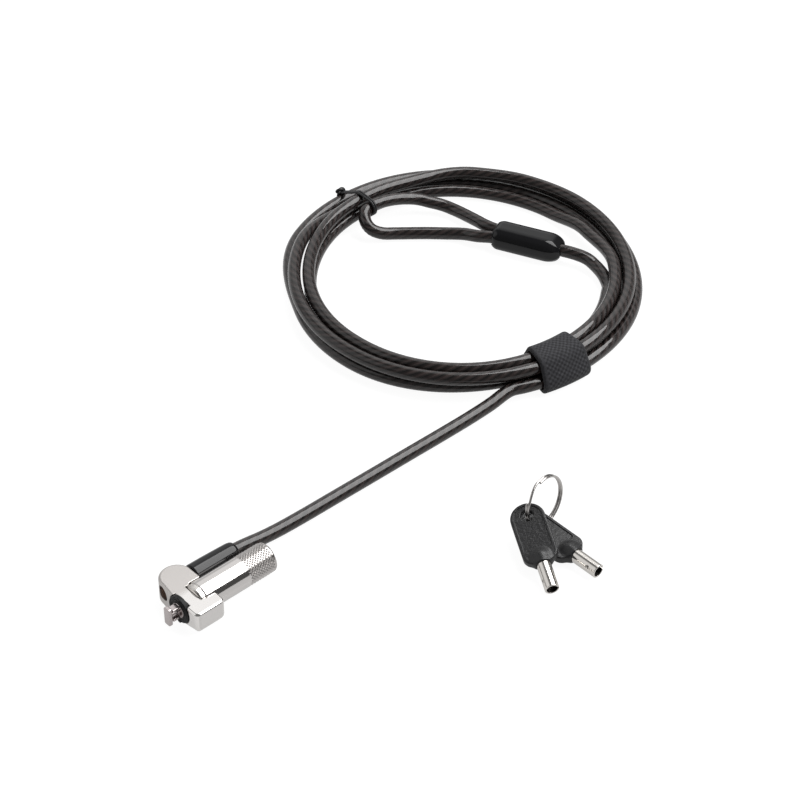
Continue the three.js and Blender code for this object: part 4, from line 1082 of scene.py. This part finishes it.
# %% The knurl's node group
def knurl_group():
    tree = bpy.data.node_groups.new("knurl_rows", "GeometryNodeTree")
    for label, kind in (("Geometry", "Geometry"), ("Tooth", "Object"), ("Metal", "Material")):
        tree.interface.new_socket(label, in_out="INPUT", socket_type="NodeSocket" + kind)
    tree.interface.new_socket("Geometry", in_out="OUTPUT", socket_type="NodeSocketGeometry")
    given, out = tree.nodes.new("NodeGroupInput"), tree.nodes.new("NodeGroupOutput")
    tooth = node(tree, "GeometryNodeObjectInfo")
    turn = node(tree, "FunctionNodeAlignRotationToVector", axis="Z")
    keep = node(tree, "FunctionNodeAlignRotationToVector", axis="X", pivot_axis="Z")
    keep.inputs["Vector"].default_value = (1, 0, 0)
    facing = node(tree, "GeometryNodeInputNamedAttribute", data_type="FLOAT_VECTOR")
    facing.inputs["Name"].default_value = "facing"
    rows = node(tree, "GeometryNodeInstanceOnPoints")
    real = node(tree, "GeometryNodeRealizeInstances")
    metal = node(tree, "GeometryNodeSetMaterial")
    for source, output, target, socket in (
            (given, "Tooth", tooth, "Object"), (facing, "Attribute", turn, "Vector"),
            (turn, "Rotation", keep, "Rotation"), (given, "Geometry", rows, "Points"),
            (tooth, "Geometry", rows, "Instance"), (keep, "Rotation", rows, "Rotation"),
            (rows, "Instances", real, "Geometry"), (real, "Geometry", metal, "Geometry"),
            (given, "Metal", metal, "Material"), (metal, "Geometry", out, "Geometry")):
        tree.links.new(source.outputs[output], target.inputs[socket])
    return tree


def through_nodes(source, name, tree, inputs):
    """Runs a node group on source and keeps the result as a plain mesh."""
    modifier = source.modifiers.new("rows", "NODES")
    modifier.node_group = tree
    for socket in tree.interface.items_tree:
        if socket.item_type == "SOCKET" and socket.in_out == "INPUT" and socket.name in inputs:
            modifier[socket.identifier] = inputs[socket.name]
    evaluated = source.evaluated_get(bpy.context.evaluated_depsgraph_get())
    mesh = bpy.data.meshes.new_from_object(evaluated)
    source.modifiers.remove(modifier)
    return in_scene(name, mesh)


# %% One tooth, and the places of all of them
KNURL_AROUND, KNURL_ROWS = 27, 17
TOOTH_FOOT, TOOTH_TOP = -0.04, BARREL_R - 0.02 - KNURL_ROOT_R
TOOTH_TIP = 0.14
tooth_w = 2 * math.pi * KNURL_ROOT_R / KNURL_AROUND
tooth_l = (KNURL_END - KNURL_START) / ((KNURL_ROWS + 1) / 2)

tooth_points = [(x * share * MM, y * share * MM, z * MM)
                for share, z in ((1, TOOTH_FOOT), (TOOTH_TIP, TOOTH_TOP))
                for x, y in ((-tooth_l / 2, 0), (0, -tooth_w / 2), (tooth_l / 2, 0), (0, tooth_w / 2))]
tooth_faces = [(0, 1, 5, 4), (1, 2, 6, 5), (2, 3, 7, 6), (3, 0, 4, 7), (4, 5, 6, 7)]
tooth = mesh_object("knurl_tooth", tooth_points, tooth_faces, KNURL_METAL, smooth=False)

spots, away = [], []
for row in range(KNURL_ROWS):
    x = KNURL_START + tooth_l / 2 * (row + 1)
    for k in range(KNURL_AROUND):
        a = 2 * math.pi * (k + row % 2 / 2) / KNURL_AROUND
        away.append((0, math.cos(a), math.sin(a)))
        spots.append((x * MM, KNURL_ROOT_R * math.cos(a) * MM, (AXIS_Z + KNURL_ROOT_R * math.sin(a)) * MM))
seeds = mesh_object("knurl_spots", spots, [], CHROME)
facing = seeds.data.attributes.new("facing", "FLOAT_VECTOR", "POINT")
facing.data.foreach_set("vector", np.ravel(away))

knurl = through_nodes(seeds, "knurled_grip", knurl_group(), {"Tooth": tooth, "Metal": KNURL_METAL})
for helper in (seeds, tooth):
    bpy.data.objects.remove(helper)
print("knurl:", len(spots), "teeth,", len(knurl.data.polygons), "faces")

# %% [markdown]
# ## Core, bumper, pegs and T-bar
#
# The core's neck shows between frame and barrel, so it gets a turned piece of its own. The rubber
# bumper has two lobes and shallow rings in its face. The pegs and the T-bar are stamped, with
# edges just broken.

# %% The core
COLLAR_FRONT, COLLAR_REAR = 0.0, BARREL_FRONT - 0.03
COLLAR_ROUND_L, COLLAR_ROUND_R = 0.62, 1.4
CORE_FRONT, CORE_REAR, CORE_TAIL_R, CORE_BORE_R = -5.1, 9.0, 3.4, 1.1
RING_GROOVE_FRONT, RING_GROOVE_REAR, RING_GROOVE_R = -3.8, -3.0, 1.85
COLLAR_LINE_START, COLLAR_LINE_END, COLLAR_LINE_DEPTH = 0.78, 1.02, 0.09
core_profile = [
    (CORE_FRONT, CORE_BORE_R), (CORE_FRONT, CORE_NOSE_R - 0.1), (CORE_FRONT + 0.1, CORE_NOSE_R),
    (RING_GROOVE_FRONT, CORE_NOSE_R), (RING_GROOVE_FRONT, RING_GROOVE_R),
    (RING_GROOVE_REAR, RING_GROOVE_R), (RING_GROOVE_REAR, CORE_NOSE_R),
    (COLLAR_FRONT, CORE_NOSE_R), (COLLAR_FRONT, COLLAR_R - COLLAR_ROUND_R - 0.1),
    *quarter(COLLAR_FRONT, COLLAR_R - COLLAR_ROUND_R, COLLAR_ROUND_L, COLLAR_ROUND_R, 12, 0.05),
    (COLLAR_LINE_START, COLLAR_R), (COLLAR_LINE_START + 0.06, COLLAR_R - COLLAR_LINE_DEPTH),
    (COLLAR_LINE_END - 0.06, COLLAR_R - COLLAR_LINE_DEPTH), (COLLAR_LINE_END, COLLAR_R),
    (COLLAR_REAR, COLLAR_R), (COLLAR_REAR, CORE_TAIL_R), (CORE_REAR, CORE_TAIL_R), (CORE_REAR, CORE_BORE_R),
]
core = turned("lock_core_turned", core_profile, NICKEL, 0, AXIS_Z, segments=96, smooth_angle=40)
print("core:", len(core.data.polygons), "faces")

# %% The bumper
LOBE_OUT, LOBE_R, LOBE_REAR = 4.05, 0.95, -5.5
RIB_RADII, RIB_DEPTH = (3.1, 3.85), 0.2


def bumper_field(p):
    x, y, z = p.T
    out = from_axis(y, z)
    ring = meet(out - BUMPER_R, along_x(x, BUMPER_FRONT, BUMPER_REAR), 0.4)
    for side in (-1, 1):
        lobe = np.hypot(y, z - AXIS_Z - side * LOBE_OUT) - LOBE_R
        ring = merge(ring, meet(lobe, along_x(x, BUMPER_FRONT, LOBE_REAR), 0.12), 0.25)
    for radius in RIB_RADII:
        ring = take(ring, np.hypot(out - radius, x - BUMPER_FRONT) - RIB_DEPTH, 0.1)
    return take(ring, out - CORE_NOSE_R - 0.12, 0.2)


bumper = field_mesh("ribbed_bumper", bumper_field, (BUMPER_FRONT, -4.6, 0.05), (BUMPER_REAR, 4.6, 10.15),
                    cell=0.12, material=RUBBER)

# %% Pegs and T-bar
PEG_FRONT, PEG_REAR, PEG_IN, PEG_OUT, PEG_HALF_W = -8.5, -3.7, 1.3, 2.25, 1.2
PLATE_FRONT, PLATE_REAR = -5.9, -5.4
TBAR_FRONT, TBAR_REAR, TBAR_HALF_W, TBAR_HALF_H = -10.1, -8.8, 1.3, 3.2
SPINDLE_FRONT, SPINDLE_REAR, SPINDLE_R = -9.4, 17.0, 0.95


def pegs_field(p):
    x, y, z = p.T
    made = meet(from_axis(y, z) - CORE_NOSE_R, along_x(x, PLATE_FRONT, PLATE_REAR), 0.1)
    for side in (-1, 1):
        middle = AXIS_Z + side * (PEG_IN + PEG_OUT) / 2
        across = box_2d(y, z - middle, PEG_HALF_W, (PEG_OUT - PEG_IN) / 2, 0.2)
        made = merge(made, meet(across, along_x(x, PEG_FRONT, PEG_REAR), 0.22), 0.1)
    return take(made, from_axis(y, z) - CORE_BORE_R, 0.08)


def t_bar_field(p):
    x, y, z = p.T
    head = box_2d(y, z - AXIS_Z, TBAR_HALF_W, TBAR_HALF_H, 0.55)
    head = meet(head, along_x(x, TBAR_FRONT, TBAR_REAR), 0.28)
    spindle = meet(from_axis(y, z) - SPINDLE_R, along_x(x, SPINDLE_FRONT, SPINDLE_REAR), 0.1)
    return merge(head, spindle, 0.25)


pegs = field_mesh("stamped_pegs", pegs_field, (PEG_FRONT, -2.5, AXIS_Z - 2.5), (PEG_REAR, 2.5, AXIS_Z + 2.5),
                  cell=0.1, material=STEEL_TIP)
t_bar = field_mesh("t_bar_and_spindle", t_bar_field, (TBAR_FRONT, -TBAR_HALF_W, AXIS_Z - TBAR_HALF_H),
                   (SPINDLE_REAR, TBAR_HALF_W, AXIS_Z + TBAR_HALF_H), cell=0.13, material=STEEL_TIP)

# %% [markdown]
# ## The keys
#
# Each head is a flat moulding with a raised rim round a bare panel, a hole for the ring and a boss
# that swells round the steel tube. Head and tube are drawn once, with the hole at the origin, and
# placed twice. The places are those of the frame's solids. The bore of the tube sees little light,
# so its faces get a darker second material, painted shade that keeps it from mirroring the bright table.

# %% Sizes of a key
KEY_HEAD_L, KEY_HALF_W, KEY_HALF_T, KEY_TOP_L = 17.6, 5.45, 1.3, 4.5
KEY_END_ROUND, KEY_EDGE = 3.3, 0.5
KEY_HOLE_R, KEY_BOSS_R, KEY_BOSS_START, KEY_BOSS_OVER = 2.05, 2.75, 15.6, 0.6
KEY_TUBE_R, KEY_BORE_R, KEY_TUBE_L = 2.25, 1.7, 9.8
KEY_RIM_W, KEY_PANEL_END, KEY_PANEL_DEPTH, KEY_PANEL_ROUND = 1.05, 13.2, 0.3, 1.4
KEY_SLOT_L, KEY_SLOT_HALF_W = 6, 0.35
DIMPLE_BACK, DIMPLE_Y, DIMPLE_Z, DIMPLE_R = 3.0, -1.9, 1.25, 0.55
KEY_ROOT = KEY_HEAD_L - 3.2
KEY_TIP = KEY_HEAD_L + KEY_TUBE_L
RING_X, RING_Y, RING_R, RING_WIRE_R, RING_PITCH = 104.5, -41.5, 8.3, 0.4, 1.0
RING_HEADING, RING_LEAN = math.radians(7.3), math.radians(7.2)
RING_END_PLACE, RING_STEP_SPAN = 153, 50
RING_Z = RING_R * math.cos(RING_LEAN) + RING_WIRE_R
RING_WAY = np.array([math.cos(RING_HEADING), math.sin(RING_HEADING), 0])
RING_SIDE = np.array([-RING_WAY[1], RING_WAY[0], 0])


def key_place(offset, z, turn, pitch, roll):
    """Where a key hangs on the ring, and how it lies, with its angles in degrees."""
    hole = np.array([RING_X, RING_Y, z]) + RING_WAY * offset + RING_SIDE * (z - RING_Z) * math.tan(RING_LEAN)
    place = Matrix.Translation(hole.tolist())
    for angle, axis in ((turn, "Z"), (pitch, "Y"), (roll, "X")):
        place = place @ Matrix.Rotation(math.radians(angle), 4, axis)
    return place


KEYS = {"upper": key_place(-8.45, 7.9, -118.4, 11.1, 13.7), "lower": key_place(-6.1, 3.4, -89, 1.4, 5.6)}
print("keys:", {who: [round(x, 1) for x in place.translation] for who, place in KEYS.items()})


# %% Head and tube
def key_head_field(p):
    x, y, z = p.T
    top_x = KEY_HALF_W - KEY_TOP_L
    side = np.where(x < top_x, np.hypot(x - top_x, y), np.abs(y)) - KEY_HALF_W
    outline = meet(side, x - KEY_HEAD_L, KEY_END_ROUND)
    body = meet(outline, np.abs(z) - KEY_HALF_T, KEY_EDGE)
    panel = meet(side + KEY_RIM_W, x - KEY_PANEL_END, KEY_PANEL_ROUND)
    body = take(body, meet(panel, KEY_HALF_T - KEY_PANEL_DEPTH - np.abs(z), 0.12), 0.16)
    out = np.hypot(y, z)
    boss = np.where(x < KEY_BOSS_START, np.hypot(x - KEY_BOSS_START, out), out) - KEY_BOSS_R
    boss = meet(boss, x - KEY_HEAD_L - KEY_BOSS_OVER, 0.35)
    body = merge(body, boss, 1.3)
    body = take(body, np.hypot(x, y) - KEY_HOLE_R, 0.3)
    return take(body, np.maximum(out - KEY_TUBE_R - 0.06, KEY_ROOT - 0.1 - x), 0.12)


def key_tube_field(p):
    x, y, z = p.T
    out = np.hypot(y, z)
    body = meet(out - KEY_TUBE_R, along_x(x, KEY_ROOT, KEY_TIP), 0.22)
    body = take(body, out - KEY_BORE_R, 0.12)
    slot = np.maximum.reduce([np.abs(z) - KEY_SLOT_HALF_W, KEY_TIP - KEY_SLOT_L - x, -y])
    body = take(body, slot, 0.08)
    dimple = np.hypot(np.hypot(x - KEY_TIP + DIMPLE_BACK, y - DIMPLE_Y), z - DIMPLE_Z) - DIMPLE_R
    return take(body, dimple, 0.06)


def paint_bore_shade(stem, place):
    """Gives the faces inside the tube the darker material, which paints the shade in the bore."""
    stem.data.materials.append(KEY_BORE_SHADE)
    back = place.inverted()
    for face in stem.data.polygons:
        spot = back @ (face.center / MM)
        face.material_index = int(math.hypot(spot.y, spot.z) < KEY_BORE_R + 0.05)


key_pieces = {}
for who, place in KEYS.items():
    head = field_mesh(f"{who}_key_moulding", key_head_field, (-KEY_TOP_L, -KEY_HALF_W, -KEY_BOSS_R),
                      (KEY_HEAD_L + KEY_BOSS_OVER, KEY_HALF_W, KEY_BOSS_R), cell=0.17, material=KEY_PLASTIC,
                      place=place)
    stem = field_mesh(f"{who}_key_stem", key_tube_field, (KEY_ROOT, -KEY_TUBE_R, -KEY_TUBE_R),
                      (KEY_TIP, KEY_TUBE_R, KEY_TUBE_R), cell=0.15, material=KEY_STEEL, place=place)
    paint_bore_shade(stem, place)
    key_pieces[who] = (head, stem)

# %% [markdown]
# The ring is two flat turns of spring wire. It could be two separate circles, but the real wire steps
# from the first turn to the second, so one open tube follows that line. Both of its ends are rounded.

# %% The split ring
END_ROUND, END_SHARE, WIRES_APART = 0.7, 0.02, 0.84
RING_STEPS = 420
ASKEW = (0.13, 0.99, 0.05)


def open_tube(name, line, radius, material, sides):
    """A round tube along an open line in millimetres, with rounded ends."""
    line = np.array(line)
    ahead = unit_rows(np.gradient(line, axis=0))
    side = unit_rows(np.cross(ahead, ASKEW))
    s = arc_lengths(line)
    near_end = np.clip(np.minimum(s, s[-1] - s) / (radius * END_ROUND), 0, 1)
    reach = radius * np.sqrt(np.clip(1 - (1 - near_end) ** 2, END_SHARE, 1))
    angle = np.arange(sides) / sides * 2 * math.pi
    points = ring_points(line, side, np.cross(side, ahead), angle[None], reach[:, None])
    made = mesh_object(name, points, ring_faces(len(line), sides), material)
    outwards(made)
    return made


RING_UP = np.array([0, 0, math.cos(RING_LEAN)]) + RING_SIDE * math.sin(RING_LEAN)
RING_ACROSS = np.cross(RING_WAY, RING_UP)
ring_middle = np.array([RING_X, RING_Y, RING_Z])
ring_line = []
one_turn = RING_END_PLACE + 360
for spot in np.linspace(RING_END_PLACE, one_turn + 360 - RING_STEP_SPAN, RING_STEPS):
    a = math.radians(spot)
    layer = smooth_step(spot, one_turn - RING_STEP_SPAN, one_turn) - 0.5
    ring_line.append(ring_middle + RING_R * (RING_WAY * math.cos(a) + RING_UP * math.sin(a))
                     + RING_ACROSS * RING_PITCH * WIRES_APART * layer)
split_ring = open_tube("two_turn_ring", ring_line, RING_WIRE_R, RING_STEEL, sides=16)
print("ring:", len(split_ring.data.polygons), "faces")

# %% [markdown]
# ## Floor and light
#
# The lock lies on a plain white table. The table gives off light of its own, a little more of it
# toward the camera, so that it stays white without washing out the dark cable.
#
# One large softbox hangs over it, with its long edges parallel to the barrel, so the highlight on
# every turned piece is a straight band. What polished metal mirrors beside the softbox matters as
# much: bright walls behind, which the flat tops show, and a dark gap under the softbox, which draws
# the dark band along the barrel. The room is a few soft patches of light on the world, because they
# cost nothing and are easy to move.

# %% The floor
FLOOR_REACH = 4
FLOOR_GLOW, FLOOR_GLOW_SEEN = 0.54, 0.40
floor_material, floor_tree, floor_shader = new_material("white_table", {
    "Base Color": (0.13, 0.13, 0.13, 1), "Roughness": 0.3, "Specular IOR Level": 0.1,
    "Emission Color": (1, 1, 1, 1)})
straight = node(floor_tree, "ShaderNodeLightPath").outputs["Is Camera Ray"]
glow = math_node(floor_tree, "ADD", math_node(floor_tree, "MULTIPLY", straight, FLOOR_GLOW_SEEN), FLOOR_GLOW)
floor_tree.links.new(glow, floor_shader.inputs["Emission Strength"])
floor_corners = [(x * FLOOR_REACH, y * FLOOR_REACH, 0) for x, y in ((-1, -1), (1, -1), (1, 1), (-1, 1))]
floor = mesh_object("floor", floor_corners, [(0, 1, 2, 3)], floor_material, smooth=False)

# %% The softbox
SOFTBOX_PLACE = (0.88, -0.25, 1.0)
SOFTBOX_SIZE = (1.0, 1.48)
SOFTBOX_TILT = math.radians(15.7)
SOFTBOX_GLOW = 6.0

softbox_data = bpy.data.lights.new("softbox", "AREA")
softbox_data.shape = "RECTANGLE"
softbox_data.size, softbox_data.size_y = SOFTBOX_SIZE
softbox_data.energy = SOFTBOX_GLOW * math.pi * SOFTBOX_SIZE[0] * SOFTBOX_SIZE[1]
softbox = in_scene("softbox", softbox_data)
softbox.location = SOFTBOX_PLACE
softbox.rotation_euler = (SOFTBOX_TILT, 0, 0)
print("softbox power:", round(softbox_data.energy, 1), "W")

# %% The room
ROOM_LEVEL, BACKGROUND = 0.16, 0.97
# Each patch: the way toward it, the cosines of its edge and of its full middle, and its glow
PATCHES = [
    ((0.35, 0.92, 0.18), 0.72, 0.93, 0.60),
    ((-0.60, 0.57, 0.52), 0.82, 0.94, 0.80),
    ((0.50, 0.57, 0.65), 0.86, 0.965, 0.95),
    ((0.52, -0.80, 0.26), 0.80, 0.93, 0.08),
]
world = bpy.data.worlds.new("room")
bpy.context.scene.world = world
world.use_nodes = True
room = world.node_tree
looking = node(room, "ShaderNodeTexCoord").outputs["Generated"]


def mixed(tree, factor, a, b):
    mix = node(tree, "ShaderNodeMix", data_type="FLOAT")
    for label, value in (("Factor", factor), ("A", a), ("B", b)):
        feed(tree, value, mix.inputs[label])
    return mix.outputs["Result"]


level = ROOM_LEVEL
for toward, edge, middle, patch_glow in PATCHES:
    near = node(room, "ShaderNodeVectorMath", operation="DOT_PRODUCT")
    near.inputs[1].default_value = Vector(toward).normalized()
    room.links.new(looking, near.inputs[0])
    level = mixed(room, fade(room, near.outputs["Value"], edge, middle), level, patch_glow)
seen = node(room, "ShaderNodeLightPath").outputs["Is Camera Ray"]
room.links.new(mixed(room, seen, level, BACKGROUND), room.nodes["Background"].inputs["Color"])
print("lights:", len(bpy.data.lights), "and", len(PATCHES), "patches")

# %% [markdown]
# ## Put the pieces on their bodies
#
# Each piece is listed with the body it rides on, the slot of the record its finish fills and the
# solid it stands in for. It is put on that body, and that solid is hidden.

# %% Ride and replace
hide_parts("cable_lead", "cable_coil", "cable_tail")
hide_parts("cable_eye")
PIECES = [
    (main_cable, "cable", "cable_jacket", None), (eye_cable, "cable", "cable_jacket", None),
    (sleeve, "cable", "moulded_gloss", "strain_sleeve"), (ferrule, "cable", "moulded_gloss", "loop_ferrule"),
    (strap, "cable", "strap_webbing", "cable_strap"), (tie_ring, "cable", "tie_plastic", "cable_tie"),
    (crimp, "cable", "cylinder_brass", "cable_crimp"), (casting, "swivel", "die_casting", "swivel_frame"),
    (core, "lock", "nickel_steel", "lock_core"), (barrel, "lock", "barrel_chrome", "lock_barrel"),
    (knurl, "lock", "barrel_chrome", None), (bumper, "lock", "bumper_rubber", "rubber_bumper"),
    (pegs, "lock", "nickel_steel", "guide_pegs"), (t_bar, "plug", "nickel_steel", "t_bar"),
    (split_ring, "key_ring", "nickel_steel", "split_ring"),
]
for who, (head, stem) in key_pieces.items():
    PIECES += [(head, f"{who}_key", "key_plastic", f"{who}_key_head"),
               (stem, f"{who}_key", "nickel_steel", f"{who}_key_tube")]
for piece, body, slot, solid in PIECES:
    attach(piece, body)
    if solid:
        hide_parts(solid)

# %% [markdown]
# The solids stay in the file under the pieces that replace them, and those inside the barrel are only
# seen when something is taken off. They get the same finishes, by name, so no part is left grey.

# %% Finishes of the solids that stay
CAD_FINISH = {
    "swivel_frame": NICKEL, "lock_core": NICKEL, "lock_barrel": CHROME, "rubber_bumper": RUBBER,
    "retaining_ring": SPRING_STEEL, "guide_pegs": NICKEL, "t_bar": NICKEL, "stator": BRASS,
    "rotor": BRASS, "face_bushing": NICKEL, "cross_pin": SPRING_STEEL, "cable_crimp": BRASS,
    "loop_crimp": ALUMINIUM, "upper_key_head": KEY_PLASTIC, "lower_key_head": KEY_PLASTIC,
    "upper_key_tube": NICKEL, "lower_key_tube": NICKEL, "split_ring": NICKEL,
}
for name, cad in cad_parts.items():
    kind = name.rsplit("_", 1)[0]
    material = CAD_FINISH.get(name) or {"key_pin": BRASS}.get(kind, SPRING_STEEL)
    cad.data.materials.clear()
    cad.data.materials.append(material)
